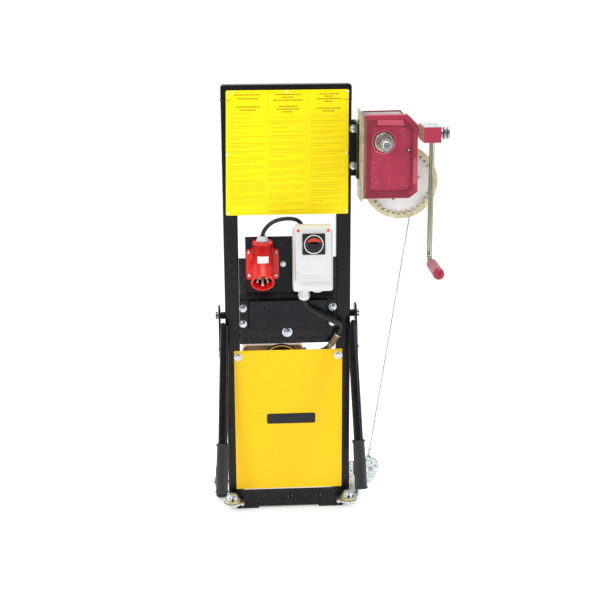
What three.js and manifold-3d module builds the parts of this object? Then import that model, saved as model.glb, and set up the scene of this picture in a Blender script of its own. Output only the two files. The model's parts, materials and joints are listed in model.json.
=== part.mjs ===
// Wire rope puller: upright steel frame with a hand winch, a motor starter and inlet,
// a covered motor drive with a traction sheave, fold-down handles and two wheels.
// Millimetres, +X to the right, +Y to the back, +Z up. Z = 0 is the floor,
// Y = 0 the front face of the uprights, X = 0 the middle of the frame. The finished group is
// shifted in X and Y, so that its origin is the bottom centre of its bounding box.
import * as THREE from "three";
import { mergeVertices, toCreasedNormals } from "three/addons/utils/BufferGeometryUtils.js";
import Module from "manifold-3d";

const wasm = await Module();
wasm.setup();

// ---- driving dimensions ----
const GAP = 0.3;                 // clearance between touching pieces
const FRAME_W = 350, FRAME_H = 1221;
const UP_W = 40, UP_D = 30, WALL = 3;
const INNER = FRAME_W / 2 - UP_W; // 135
const PLATE = { x0: -166.8, x1: 166.7, z0: 870, z1: 1207, t: 2 };
const COVER = { x0: -152.5, x1: 152.5, z0: 61.2, z1: 482, t: 2 };
const SHEET = { x0: -116, x1: 126, z0: 655, z1: 809, t: 3 };
const INLET = { x: -69, z: 733, bodyR: 29, shroudR: 31.4, boreR: 27.6, tilt: 36 * Math.PI / 180 };
const BOX = { x0: 13, x1: 122, z0: 664, z1: 835, y0: -50, lidX0: 18, lidX1: 113, lidZ0: 699, lidZ1: 853, lidY: -95 };
const KNOB = { x: 65.5, z: 808, r: 21 };
const CABLE1_D = 11, CABLE2_D = 13;
const ROPE_D = 4;
const DRUM = { x: 300.4, z: 966.3, flangeR: 100.6, coreR: 36, wrapR: 42.6, boreR: 10.08 };
const RING = { z: 35, m: 4.8 };
const MID = { x: 276.1, z: 1021.2, zBig: 18, zSmall: 10 };
const INPUT = { x: 250, z: 1079, z1: 9, m: 4.7111, square: 34 };
const CRANK = { x: 365.7, z: 1106, hubW: 46, hubH: 40, y0: -172, y1: -83, rodR: 7.5, rodX: 370.6, rodY: -136, bottom: 768, gripR: 15 };
const WHEEL = { x: 196.5, y: 86, z: 48, r: 48, w: 33, axleR: 6 };
const HANDLE = { y: 16, z: 582, topX: 176.2, topY: -24, topZ: 566, botX: 194, botY: -150, botZ: 119, r: 12.5, gripR: 16.8, gripTopZ: 264 };
const ROLLER = { xL: -164.5, xR: 168.7, y: -32.5, z: 36, r: 21.5, brimR: 25, pinR: 5 };
const SHEAVE = { x: -17, z: 425, r: 55 };
const HOOK = { topX: 247.2, topZ: 151, botX: 179.4, botZ: 6, y: -11.5 };
const ROPE_TOP = { x: 344.9, y: -34.3, z: 959.9 }, ROPE_BOT = { x: 229.8, y: -11.5, z: 157.2 };

// ---- solids ----
function solid(g) {
  const c = g.clone(); c.deleteAttribute("normal"); c.deleteAttribute("uv");
  const m = mergeVertices(c, 1e-3);
  return new wasm.Manifold(new wasm.Mesh({ numProp: 3, vertProperties: m.attributes.position.array, triVerts: new Uint32Array(m.index.array) }));
}
function geo(s) {
  const m = s.getMesh();
  const g = new THREE.BufferGeometry();
  const n = m.numProp, v = new Float32Array(m.vertProperties.length / n * 3);
  for (let i = 0; i < v.length / 3; i++) for (let k = 0; k < 3; k++) v[3 * i + k] = m.vertProperties[n * i + k];
  g.setAttribute("position", new THREE.BufferAttribute(v, 3));
  g.setIndex(new THREE.BufferAttribute(new Uint32Array(m.triVerts), 1));
  return g;
}
function box(x0, x1, y0, y1, z0, z1) {
  const g = new THREE.BoxGeometry(x1 - x0, y1 - y0, z1 - z0);
  g.translate((x0 + x1) / 2, (y0 + y1) / 2, (z0 + z1) / 2);
  return solid(g);
}
const DIR = { x: new THREE.Vector3(1, 0, 0), y: new THREE.Vector3(0, 1, 0), z: new THREE.Vector3(0, 0, 1) };
// Cylinder (or cone) from a to b.
function rod(a, b, r, seg = 20, r2 = r) {
  const A = new THREE.Vector3(...a), B = new THREE.Vector3(...b), d = B.clone().sub(A), L = d.length();
  const g = new THREE.CylinderGeometry(r2, r, L, seg);
  g.translate(0, L / 2, 0);
  g.applyQuaternion(new THREE.Quaternion().setFromUnitVectors(DIR.y, d.normalize()));
  g.translate(A.x, A.y, A.z);
  return solid(g);
}
// Profile in (x, z), extruded along +Y from y0 to y1.
function slabXZ(pts, y0, y1, holes = []) {
  const s = new THREE.Shape(pts.map(p => new THREE.Vector2(p[0], p[1])));
  for (const h of holes) s.holes.push(h);
  const g = new THREE.ExtrudeGeometry(s, { depth: y1 - y0, bevelEnabled: false, curveSegments: 6 });
  g.rotateX(Math.PI / 2);            // (x, y, z) -> (x, -z, y)
  g.translate(0, y1, 0);
  return solid(g);
}
// Profile in (x, y), extruded along +Z.
function slabXY(pts, z0, z1, holes = []) {
  const s = new THREE.Shape(pts.map(p => new THREE.Vector2(p[0], p[1])));
  for (const h of holes) s.holes.push(new THREE.Path(h.map(p => new THREE.Vector2(p[0], p[1]))));
  const g = new THREE.ExtrudeGeometry(s, { depth: z1 - z0, bevelEnabled: false });
  g.translate(0, 0, z0);
  return solid(g);
}
// Profile in (y, z), extruded along +X.
function slabYZ(pts, x0, x1) {
  const s = new THREE.Shape(pts.map(p => new THREE.Vector2(p[0], p[1])));
  const g = new THREE.ExtrudeGeometry(s, { depth: x1 - x0, bevelEnabled: false });
  g.applyMatrix4(new THREE.Matrix4().set(0, 0, 1, x0, 1, 0, 0, 0, 0, 1, 0, 0, 0, 0, 0, 1));
  return solid(g);
}
// Lathe profile [radius, along], turned about an axis from origin o along dir.
function turn(profile, o, dir, seg = 24) {
  const g = new THREE.LatheGeometry(profile.map(p => new THREE.Vector2(p[0], p[1])), seg);
  g.applyQuaternion(new THREE.Quaternion().setFromUnitVectors(DIR.y, new THREE.Vector3(...dir).normalize()));
  g.translate(...o);
  let s = solid(g);
  if (s.volume() < 0) {
    const h = new THREE.LatheGeometry(profile.slice().reverse().map(p => new THREE.Vector2(p[0], p[1])), seg);
    h.applyQuaternion(new THREE.Quaternion().setFromUnitVectors(DIR.y, new THREE.Vector3(...dir).normalize()));
    h.translate(...o);
    s = solid(h);
  }
  return s;
}
function rr(x0, x1, y0, y1, r, n = 3) { // rounded rectangle outline
  const p = [];
  for (const [cx, cy, a] of [[x1 - r, y1 - r, 0], [x0 + r, y1 - r, 1], [x0 + r, y0 + r, 2], [x1 - r, y0 + r, 3]])
    for (let i = 0; i <= n; i++) { const t = (a + i / n) * Math.PI / 2; p.push([cx + r * Math.cos(t), cy + r * Math.sin(t)]); }
  return p;
}
function circle(cx, cy, r, n = 20, ph = 0) {
  const p = []; for (let i = 0; i < n; i++) { const t = ph + 2 * Math.PI * i / n; p.push([cx + r * Math.cos(t), cy + r * Math.sin(t)]); } return p;
}
// Tube of circular section along a smooth curve through points.
function tube(pts, r, steps, sides = 10) {
  const c = new THREE.CatmullRomCurve3(pts.map(p => new THREE.Vector3(...p)), false, "centripetal");
  const s = new THREE.Shape(circle(0, 0, r, sides).map(p => new THREE.Vector2(p[0], p[1])));
  return solid(new THREE.ExtrudeGeometry(s, { steps, bevelEnabled: false, extrudePath: c }));
}
// Toothed outline centred on (cx, cz). tip and root radii, tooth fraction at root and tip, phase of the first tooth.
function toothed(cx, cz, z, root, tip, phase, wr = 0.5, wt = 0.24) {
  const p = [], pitch = 2 * Math.PI / z;
  for (let i = 0; i < z; i++) {
    const a = phase + i * pitch;
    p.push([cx + root * Math.cos(a - wr * pitch / 2), cz + root * Math.sin(a - wr * pitch / 2)]);
    p.push([cx + tip * Math.cos(a - wt * pitch / 2), cz + tip * Math.sin(a - wt * pitch / 2)]);
    p.push([cx + tip * Math.cos(a + wt * pitch / 2), cz + tip * Math.sin(a + wt * pitch / 2)]);
    p.push([cx + root * Math.cos(a + wr * pitch / 2), cz + root * Math.sin(a + wr * pitch / 2)]);
  }
  return p;
}
function arrow(a, b) { return Math.atan2(b.z - a.z, b.x - a.x); }
function clean(s) { return s.volume() < 0 ? (() => { throw new Error("inside out"); })() : s; }

const root = new THREE.Group();
root.name = "wire_rope_puller";
function put(name, s, color, roughness, metalness) {
  const g = toCreasedNormals(geo(clean(s)), 0.6);
  const m = new THREE.Mesh(g, new THREE.MeshStandardMaterial({ color, roughness, metalness }));
  m.name = name;
  root.add(m);
}
const BLACK = [0x17181b, 0.35, 0.1], YELLOW = [0xf6d21a, 0.4, 0.0], ZINC = [0xc9c8bf, 0.35, 0.9], GOLD = [0xb9a765, 0.38, 0.9],
  RED = [0x9a1f36, 0.4, 0.0], CEE = [0xcf2a22, 0.45, 0.0], GREY = [0xdcdedd, 0.5, 0.0], RUBBER = [0x2c2d30, 0.75, 0.0], STEEL = [0x8f9296, 0.4, 0.9];

// ---- frame ----
function upright(x0, x1) {
  const outer = slabXY(rr(x0, x1, 0, UP_D, 4), 11.3, FRAME_H - UP_W - GAP);
  return outer.subtract(slabXY(rr(x0 + WALL, x1 - WALL, WALL, UP_D - WALL, 2, 1), 5, FRAME_H));
}
// Handle pivot stud, welded to the upright, with its nut.
function pivot(s) {
  const c = (a, b, r, k) => rod([s * a, HANDLE.y, HANDLE.z], [s * b, HANDLE.y, HANDLE.z], r, k);
  return c(174, 199, 6, 16).add(c(174, 187, 10, 16)).add(c(194, 201, 10.5, 6));
}
put("upright_left", upright(-FRAME_W / 2, -INNER).add(pivot(-1)), ...BLACK);
put("upright_right", upright(INNER, FRAME_W / 2).add(pivot(1)), ...BLACK);
{
  const bar = slabXZ([[-175, FRAME_H - UP_W], [175, FRAME_H - UP_W], [175, FRAME_H - 7], [172.9, FRAME_H - 2], [168, FRAME_H], [-168, FRAME_H], [-172.9, FRAME_H - 2], [-175, FRAME_H - 7]], 0, UP_D);
  put("top_bar", bar.subtract(box(-171, 171, WALL, UP_D - WALL, FRAME_H - UP_W + WALL, FRAME_H - WALL)).subtract(box(-60, 60, 8, 22, FRAME_H - UP_W - 1, FRAME_H - UP_W + WALL + 1)), ...BLACK);
}
function tubeX(y0, y1, z0, z1, w = 3) {
  return box(-INNER + GAP, INNER - GAP, y0, y1, z0, z1).subtract(box(-INNER - 5, INNER + 5, y0 + w, y1 - w, z0 + w, z1 - w));
}
put("crossbar_mid", tubeX(0, 28, 519.5, 544.3), ...BLACK);
put("crossbar_low", tubeX(11, 30, 497.5, 519, 2.5), ...BLACK);
put("base_panel", box(-172, 172, -5.3, -GAP, 6, 58.7).add(box(-172, 172, -5.3, 40, 6, 11))
  .subtract(rod([-82, -9, 36], [-82, 3, 36], 6)).subtract(rod([1.8, -9, 36], [1.8, 3, 36], 6)).subtract(rod([84.6, -9, 36.6], [84.6, 3, 36.6], 6)), ...BLACK);
function rail(x0, x1, lug0, lug1) {
  return box(x0, x1, UP_D + GAP, 300, 11.3, 41).subtract(box(x0 + 3, x1 - 3, 20, 310, 14.3, 38))
    .add(slabYZ([[WHEEL.y - 20, 40.5], [WHEEL.y + 20, 40.5], [WHEEL.y + 11, 62], [WHEEL.y - 11, 62]], lug0, lug1))
    .subtract(rod([lug0 - 5, WHEEL.y, WHEEL.z], [lug1 + 5, WHEEL.y, WHEEL.z], WHEEL.axleR + GAP));
}
put("base_rail_left", rail(-170, -130, -156, -148), ...BLACK);
put("base_rail_right", rail(130, 170, 148, 156), ...BLACK);
put("rear_bar", box(-170, 170, 300.3, 330, 0, 41).subtract(box(-175, 175, 303.5, 327, 11, 38)), ...BLACK);
put("pad_left", box(-152, -88, -4, 36, 0, 5.7), ...RUBBER);
put("pad_right", box(86, 156, -4, 36, 0, 5.7), ...RUBBER);
put("wheel_axle", rod([-217, WHEEL.y, WHEEL.z], [217, WHEEL.y, WHEEL.z], WHEEL.axleR, 16), ...ZINC);

// ---- plates on the frame ----
put("instruction_plate", box(PLATE.x0, PLATE.x1, -PLATE.t - GAP, -GAP, PLATE.z0, PLATE.z1), ...YELLOW);
put("lower_cover", box(COVER.x0, COVER.x1, -COVER.t - GAP, -GAP, COVER.z0, COVER.z1), ...YELLOW);
put("rear_plate", box(-INNER + GAP, INNER - GAP, 3.3, 7.3, 545, 748).subtract(rod([-12, 0, 731], [-12, 10, 731], 4.5, 12)), ...BLACK);
put("mount_plate", slabYZ([[0, 651], [-11, 639], [-8.8, 637], [3, 649.8], [3, SHEET.z1], [0, SHEET.z1]], SHEET.x0, SHEET.x1).subtract(rod([-12, -3, 731], [-12, 6, 731], 4.5, 12)), ...BLACK);
{
  const t = 4;
  const pts = [[-134, 3], [-134, -1], [-110, -1], [-107, -12], [107, -12], [110, -1], [134, -1], [134, 3], [107.5, 3], [104, -12 + t], [-104, -12 + t], [-107.5, 3]];
  let s = slabXY(pts, 548.5, 628);
  for (const [x, z] of [[-53.2, 601.2], [52.2, 601], [-53.4, 566], [52, 566]]) s = s.subtract(rod([x, -15, z], [x, -5, z], 2.2, 8));
  put("cross_panel", s, ...BLACK);
}

// ---- red 5-pin inlet ----
const n = [0, -Math.cos(INLET.tilt), -Math.sin(INLET.tilt)];
const mouth = [-71, -70, 695.3];
const at = (d) => [mouth[0], mouth[1] - n[1] * d, mouth[2] - n[2] * d];
{
  let s = slabXZ(rr(-114.5, -24, 690, 776, 7), -4.5, -GAP);
  s = s.add(rod([INLET.x, -25, 727], [INLET.x, -25, 797], INLET.bodyR, 24)).add(rod([INLET.x, -25, 797], [INLET.x, -25, 802], INLET.bodyR, 24, 24))
    .add(box(INLET.x - INLET.bodyR, INLET.x + INLET.bodyR, -25, -3, 727, 797));
  s = s.add(rod(at(60), at(0), INLET.shroudR, 28)).subtract(rod(at(41), at(-1), INLET.boreR, 28));
  s = s.subtract(box(-200, 100, -GAP, 60, 600, 850));
  s = s.add(box(mouth[0] - 4, mouth[0] + 4, -46, -40, 672, 676).intersect(rod(at(30), at(2), INLET.shroudR + 4, 28)));
  s = s.subtract(rod([INLET.x, -25, 775], [INLET.x, -25, 806], 7, 14));
  put("inlet_body", s, ...CEE);
}
{
  let s = rod(at(40.7), at(33), INLET.boreR - GAP, 28);
  const ux = [1, 0, 0], uz = [0, n[2], -n[1]];
  [0, 1, 2, 3, 4].forEach(i => {
    const a = -Math.PI / 2 + i * 2 * Math.PI / 5, R = 14.5, r = i === 0 ? 3.6 : 2.6;
    const off = [R * Math.cos(a), R * Math.sin(a) * uz[1], R * Math.sin(a) * uz[2]];
    const A = at(34), B = at(i === 0 ? 4 : 7);
    s = s.add(rod(A.map((v, k) => v + off[k]), B.map((v, k) => v + off[k]), r, 10));
  });
  put("inlet_pins", s, 0xd9d0ae, 0.4, 0.3);
}
put("inlet_cap", rod([INLET.x, -25, 802.3], [INLET.x, -25, 817], 16.5, 20, 12.5).subtract(rod([INLET.x, -25, 800], [INLET.x, -25, 822], CABLE1_D / 2 + 0.7, 14)), ...GREY);

// ---- motor starter enclosure ----
{
  let s = slabXZ(rr(BOX.x0, BOX.x1, BOX.z0, BOX.z1, 5), BOX.y0, -GAP);
  s = s.subtract(box(BOX.x0 + 4, BOX.x1 - 4, BOX.y0 + 3, -4, BOX.z0 + 4, BOX.z1 - 4));
  s = s.subtract(box(BOX.lidX0 + 4, BOX.lidX1 - 4, BOX.y0 - 2, BOX.y0 + 5, BOX.lidZ0 + 5, BOX.lidZ1 - 4));
  s = s.subtract(rod([43.5, -27, 655], [43.5, -27, 670], 10, 16)).subtract(rod([40, -26, 826], [40, -26, 840], CABLE1_D / 2 + 1.2, 14));
  put("enclosure_base", s, ...GREY);
  const lidPts = [[BOX.y0 - GAP, BOX.lidZ0], [BOX.y0 - 32, BOX.lidZ0 + 2], [BOX.lidY, BOX.lidZ0 + 28], [BOX.lidY, BOX.lidZ1 - 3], [BOX.lidY + 3, BOX.lidZ1], [BOX.y0 - GAP, BOX.lidZ1]];
  let lid = slabYZ(lidPts, BOX.lidX0, BOX.lidX1);
  lid = lid.subtract(slabYZ([[BOX.y0 + 1, BOX.lidZ0 + 4], [BOX.y0 - 30, BOX.lidZ0 + 6], [BOX.lidY + 4, BOX.lidZ0 + 30], [BOX.lidY + 4, BOX.lidZ1 - 4], [BOX.y0 + 1, BOX.lidZ1 - 4]], BOX.lidX0 + 4, BOX.lidX1 - 4));
  put("enclosure_lid", lid.add(slabXZ(rr(35, 96, 779.5, 837, 2, 1), BOX.lidY - 3.3, BOX.lidY + 1)), ...GREY);
}
{
  let s = rod([KNOB.x, BOX.lidY - 13, KNOB.z], [KNOB.x, BOX.lidY - 3.6, KNOB.z], KNOB.r, 28);
  s = s.add(slabXZ(rr(KNOB.x - 19, KNOB.x + 19, KNOB.z - 6.5, KNOB.z + 6.5, 5), BOX.lidY - 27, BOX.lidY - 12));
  put("switch_knob", s, 0x1b1b1d, 0.45, 0.0);
}
put("cable_gland", turn([[CABLE2_D / 2 + 0.8, 0], [11, 0], [13.5, 4], [14, 12], [14, 13], [16, 13], [16, 24.5], [9.6, 24.5], [9.6, 36], [CABLE2_D / 2 + 0.8, 36], [CABLE2_D / 2 + 0.8, 0]], [43.5, -27, 635], [0, 0, 1], 18), ...GREY);
// Supply lead, inlet to starter, and motor lead, starter to motor: each held at both ends.
const SUPPLY = [[-69, -25, 806], [-69, -25, 812], [-68.2, -25, 820], [-64.5, -25.5, 830.5], [-57.5, -26, 840.5], [-47, -26.5, 850.5], [-32, -27.5, 858.8], [-9, -28.5, 864], [12, -28.5, 863.6], [27, -27.5, 858.6], [36.5, -26.5, 849], [40, -26, 839], [40, -26, 828]];
put("cable_supply", tube(SUPPLY, CABLE1_D / 2, 26, 8), 0x1d1d1f, 0.6, 0.0);
const MOTOR_LEAD = [[43.5, -27, 668], [43.5, -27, 652], [43.5, -27, 636], [46.5, -28, 624], [59, -30, 611], [86, -34, 595], [120, -36, 577], [142, -33, 564], [148.5, -28, 551], [139, -23, 535], [130, -16, 516], [122, -8, 499], [115, 4, 488], [107, 16, 477], [94, 40, 463], [76, 66, 452], [56.5, 88, 446]];
put("cable_motor", tube(MOTOR_LEAD, CABLE2_D / 2, 40, 8), 0x232325, 0.6, 0.0);

// ---- motor drive behind the cover ----
put("motor_shelf", box(-INNER + GAP, INNER - GAP, 2, 30, 338, 344.7).add(box(-100, 20, 29, 240, 338, 344.7)), ...BLACK);
put("gearbox", slabXZ(rr(-128, 48, 345, 472, 14), 76, 150).subtract(rod([SHEAVE.x, 70, SHEAVE.z], [SHEAVE.x, 110, SHEAVE.z], 12.4, 18)), 0xd9bfa6, 0.6, 0.0);
put("motor", turn([[0, 0], [60, 0], [60, 100], [56, 104], [56, 128], [40, 136], [0, 136]], [-40, 150.3, 408], [0, 1, 0], 28), 0x6f7478, 0.5, 0.3);
put("traction_sheave", turn([[0, 0], [20, 0], [20, 5], [SHEAVE.r - 4, 6], [SHEAVE.r, 7], [SHEAVE.r, 11], [SHEAVE.r - 9, 17], [SHEAVE.r, 23], [SHEAVE.r, 27], [22, 28], [22, 36], [12, 36], [12, 68], [0, 68]], [SHEAVE.x, 38, SHEAVE.z], [0, 1, 0], 26), 0x202124, 0.45, 0.2);

// ---- hand winch ----
put("winch_bracket", slabXY([[168.2, -6.3], [184, -6.3], [184, -60], [190, -60], [190, 36.3], [168.2, 36.3], [168.2, 30.3], [184, 30.3], [184, -0.3], [168.2, -0.3]], 975, 1122)
  .subtract(rod([179.4, -20, 1103], [179.4, 50, 1103], 4.3, 12)).subtract(rod([179.4, -20, 1003], [179.4, 50, 1003], 4.3, 12)), ...BLACK);
put("winch_side_plate", box(190.3, 193.3, -103, -2, 922, 1158), ...ZINC);
put("winch_rear_plate", slabXZ([[193.6, 930], [314, 931], [335, 947], [331, 1120], [305.5, 1150.5], [193.6, 1149]], -8, -4).subtract(rod([DRUM.x, -12, DRUM.z], [DRUM.x, 0, DRUM.z], 10.3, 20)), 0x8e2a3a, 0.45, 0.1);
put("winch_mid_plate", slabXZ([[193.6, 932], [312, 932], [333, 948], [331, 1118], [306, 1144], [193.6, 1144]], -71, -67)
  .add(rod([DRUM.x, -75, DRUM.z], [DRUM.x, -2, DRUM.z], 10, 20)).subtract(rod([MID.x, -75, MID.z], [MID.x, -60, MID.z], 8.09, 32)).subtract(rod([INPUT.x, -75, INPUT.z], [INPUT.x, -60, INPUT.z], 10.08, 40)), ...ZINC);
{
  const out = [[193.6, 929], [319, 929.5], [341, 946], [339, 1123], [312, 1150], [193.6, 1149]];
  const ins = [[197, 932.5], [317.8, 932.8], [337.6, 947.6], [335.6, 1121.6], [310.6, 1146.6], [197, 1145.6]];
  const rec = [[205, 940], [314, 940], [329, 952], [327.5, 1117], [306, 1138], [205, 1137]];
  let s = slabXZ(out, -100, -72).subtract(slabXZ(ins, -93, -71)).subtract(slabXZ(rec, -101, -96))
    .subtract(rod([INPUT.x, -105, INPUT.z], [INPUT.x, -85, INPUT.z], 27.5, 28)).subtract(rod([317, -105, 1057], [317, -85, 1057], 6, 14));
  put("winch_cover", s, ...RED);
}
{
  // Drum: front flange with internal teeth, core, rear flange.
  let s = rod([DRUM.x, -63, DRUM.z], [DRUM.x, -51, DRUM.z], DRUM.flangeR, 48);
  const R = RING.z * RING.m / 2;
  const ph = arrow(DRUM, MID);
  const inner = toothed(DRUM.x, DRUM.z, RING.z, R - 3.6, R + 3.8, ph, 0.62, 0.5);
  s = s.subtract(slabXZ(inner, -64, -53.5));
  s = s.add(rod([DRUM.x, -51.5, DRUM.z], [DRUM.x, -14, DRUM.z], DRUM.coreR, 32)).add(rod([DRUM.x, -15, DRUM.z], [DRUM.x, -11, DRUM.z], 72, 36));
  s = s.subtract(rod([DRUM.x, -70, DRUM.z], [DRUM.x, -5, DRUM.z], DRUM.boreR, 40));
  put("drum", s, ...GOLD);
}
put("rope_wraps", turn([[DRUM.coreR + GAP, 0], [DRUM.wrapR - 0.8, 0], [DRUM.wrapR, 1], [DRUM.wrapR, 34], [DRUM.wrapR - 0.8, 35], [DRUM.coreR + GAP, 35], [DRUM.coreR + GAP, 0]], [DRUM.x, -50.7, DRUM.z], [0, 1, 0], 32), 0xb4b7b9, 0.5, 0.7);
{
  // Intermediate shaft: wheel driven by the input pinion, pinion inside the drum ring.
  const m2 = INPUT.m, Rb = MID.zBig * m2 / 2, Rs = MID.zSmall * RING.m / 2;
  const toInput = arrow(MID, INPUT), toDrum = arrow(MID, DRUM);
  let s = slabXZ(toothed(MID.x, MID.z, MID.zBig, Rb - 3.6, Rb + 2.0, toInput + Math.PI / MID.zBig, 0.46, 0.18), -88, -79);
  s = s.add(rod([MID.x, -79.5, MID.z], [MID.x, -63.5, MID.z], 8, 20));
  s = s.add(slabXZ(toothed(MID.x, MID.z, MID.zSmall, Rs - 4.6, Rs + 2.6, toDrum + Math.PI, 0.55, 0.2), -64.5, -54.5));
  put("mid_gear", s, ...STEEL);
}
{
  // Input shaft: pinion behind the cover, round journal, square drive end with a stepped nut.
  const R1 = INPUT.z1 * INPUT.m / 2, toMid = arrow(INPUT, MID);
  let s = slabXZ(toothed(INPUT.x, INPUT.z, INPUT.z1, R1 - 3.6, R1 + 2.0, toMid, 0.46, 0.18), -88, -79);
  s = s.add(rod([INPUT.x, -100, INPUT.z], [INPUT.x, -60, INPUT.z], 10, 20)).add(rod([INPUT.x, -101, INPUT.z], [INPUT.x, -88.5, INPUT.z], 20, 24));
  const q = INPUT.square / 2, c = 2.5, d = [[q, q - c], [q - c, q], [-q + c, q], [-q, q - c], [-q, -q + c], [-q + c, -q], [q - c, -q], [q, -q + c]].map(([a, b]) => [INPUT.x + (a - b) * Math.SQRT1_2, INPUT.z + (a + b) * Math.SQRT1_2]);
  s = s.add(slabXZ(d, -148, -100)).add(rod([INPUT.x, -151, INPUT.z], [INPUT.x, -147, INPUT.z], 13.5, 24)).add(slabXZ(circle(INPUT.x, INPUT.z, 10, 6), -160, -150));
  put("input_shaft", s, ...ZINC);
}
// Parking peg for the crank on the side of the winch, and the crank on it.
put("crank_peg", box(341.6, 384, -81, -75, 1092, 1120).add(box(CRANK.x - INPUT.square / 2, CRANK.x + INPUT.square / 2, -160, -80, CRANK.z - INPUT.square / 2, CRANK.z + INPUT.square / 2)), ...ZINC);
{
  let s = box(CRANK.x - CRANK.hubW / 2, CRANK.x + CRANK.hubW / 2, CRANK.y0, CRANK.y1, CRANK.z - CRANK.hubH / 2, CRANK.z + CRANK.hubH / 2);
  s = s.subtract(box(CRANK.x - 17.4, CRANK.x + 17.4, CRANK.y0 + 11, CRANK.y1 + 1, CRANK.z - 17.4, CRANK.z + 17.4));
  s = s.subtract(rod([CRANK.x + 9, -136, CRANK.z], [CRANK.x + 30, -136, CRANK.z], 5.3, 12));
  put("crank_hub", s, ...RED);
}
{
  const x = CRANK.rodX, y = CRANK.rodY, top = CRANK.z - CRANK.hubH / 2 - GAP, b = CRANK.bottom;
  const s = tube([[x, y, top], [x, y, top - 60], [x, y, top - 140], [x, y, b + 60], [x, y, b + 22], [x, y - 2.5, b + 10], [x, y - 10, b + 2.5], [x, y - 22, b], [x, y - 34, b]], CRANK.rodR, 20, 10);
  put("crank_rod", s.add(rod([x, y - 33, b], [x, y - 153, b], 5, 14)), ...ZINC);
}
put("crank_grip", turn([[5.08, 0], [11, 0], [13, 2], [14.2, 30], [14.2, 90], [15, 105], [14.8, 115], [11.5, 123], [6, 126.8], [5.08, 127], [5.08, 0]], [CRANK.rodX, CRANK.rodY - 35, CRANK.bottom], [0, -1, 0], 24), ...RED);
put("crank_clamp_screw", turn([[0, 0], [5, 0], [5, 9.5], [9, 10], [9, 14.5], [16.5, 15.5], [16.5, 20], [9, 21.5], [9, 24], [15.5, 25.5], [15.5, 29.5], [13, 31], [0, 31]], [CRANK.x + 17.3, -136, CRANK.z], [1, 0, 0], 18), ...ZINC);

// ---- wheels ----
for (const [name, s] of [["wheel_left", -1], ["wheel_right", 1]]) {
  const r = WHEEL.r, h = WHEEL.w / 2, i = WHEEL.axleR + 0.08;
  put(name, turn([[i, -h - 2], [14, -h - 2], [31, -h + 4], [33, -h], [r - 4, -h], [r, -h + 6], [r, h - 6], [r - 4, h], [33, h], [31, h - 4], [14, h + 2], [i, h + 2], [i, -h - 2]], [s * WHEEL.x, WHEEL.y, WHEEL.z], [1, 0, 0], 24), ...RUBBER);
}

// ---- fold-down handles ----
function handle(s) {
  const H = HANDLE;
  const arm = slabYZ([[-2, 600], [10, 610], [30, 610], [40, 598], [40, 578], [14, 478], [8, 470], [-36, 470], [-42, 480], [-26, 540]], s > 0 ? 187.5 : -193.5, s > 0 ? 193.5 : -187.5);
  let b = rod([s * H.topX, H.topY, H.topZ], [s * H.botX, H.botY, H.botZ], H.r, 18);
  // tube is cut away where it would run into the upright
  b = b.subtract(box(s > 0 ? 100 : -175.6, s > 0 ? 175.6 : -100, -0.6, 60, 0, 1000));
  b = b.add(rod([s * (H.topX - 0.4), H.topY - 1, H.topZ - 1], [s * 188.5, H.topY + 1, H.topZ - 6], 9, 12));
  b = b.add(rod([s * 181, -48, 500], [s * 189, -36, 500], 8, 12));
  return b.add(arm).subtract(rod([s * 150, H.y, H.z], [s * 230, H.y, H.z], 6.07, 32));
}
function grip(s) {
  const H = HANDLE, A = new THREE.Vector3(s * H.botX, H.botY, H.botZ), T = new THREE.Vector3(s * H.topX, H.topY, H.topZ), d = T.clone().sub(A).normalize();
  const o = A.clone().addScaledVector(d, -5), L = 150, r = H.gripR, b = H.r + GAP;
  return turn([[0, 0], [r + 1.2, 0], [r + 1.2, 6], [r - 0.6, 8], [r - 1.2, 60], [r - 0.6, L - 8], [r + 1.6, L - 6], [r + 1.6, L], [b, L], [b, 4], [0, 4]], o.toArray(), d.toArray(), 20);
}
for (const [side, s] of [["left", -1], ["right", 1]]) {
  put(`handle_${side}`, handle(s), ...BLACK);
  put(`grip_${side}`, grip(s), ...RUBBER);
}

// ---- rope guide sheaves on the base corners, on upright pins ----
for (const [side, x, k] of [["left", ROLLER.xL, 1], ["right", ROLLER.xR, -1]]) {
  const { y, z, r, brimR, pinR: p } = ROLLER, kx = x + k * 27.5;
  put(`guide_roller_${side}`, turn([[p + 0.06, 0], [r, 0], [r, 1.5], [r - 4, 4], [r, 6.5], [r, 8], [p + 0.06, 8], [p + 0.06, 0]], [x, y, z], [0, 0, 1], 28), ...GOLD);
  let s = rod([x, y, z - 6], [x, y, z - 0.6], brimR, 32).add(box(x - 16, x + (k > 0 ? 12 : -6), y + 10, -5.6, z - 6, z - 0.6)).add(rod([x, y, z - 5], [x, y, z + 10], p, 16));
  s = s.add(turn([[0, 8.6], [17, 8.6], [17, 12], [15.5, 16], [12, 21], [8, 25], [0, 25]], [x, y, z], [0, 0, 1], 24));
  s = s.add(rod([kx, y - 4, z - 7], [kx, -5.6, z - 7], 5.5, 16));
  if (k < 0) s = s.subtract(box(x - 6, x + 40, y + 10.5, -5, z - 7, z - 0.3)); // room for the hook
  put(`guide_cheek_${side}`, s, ...ZINC);
}

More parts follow.
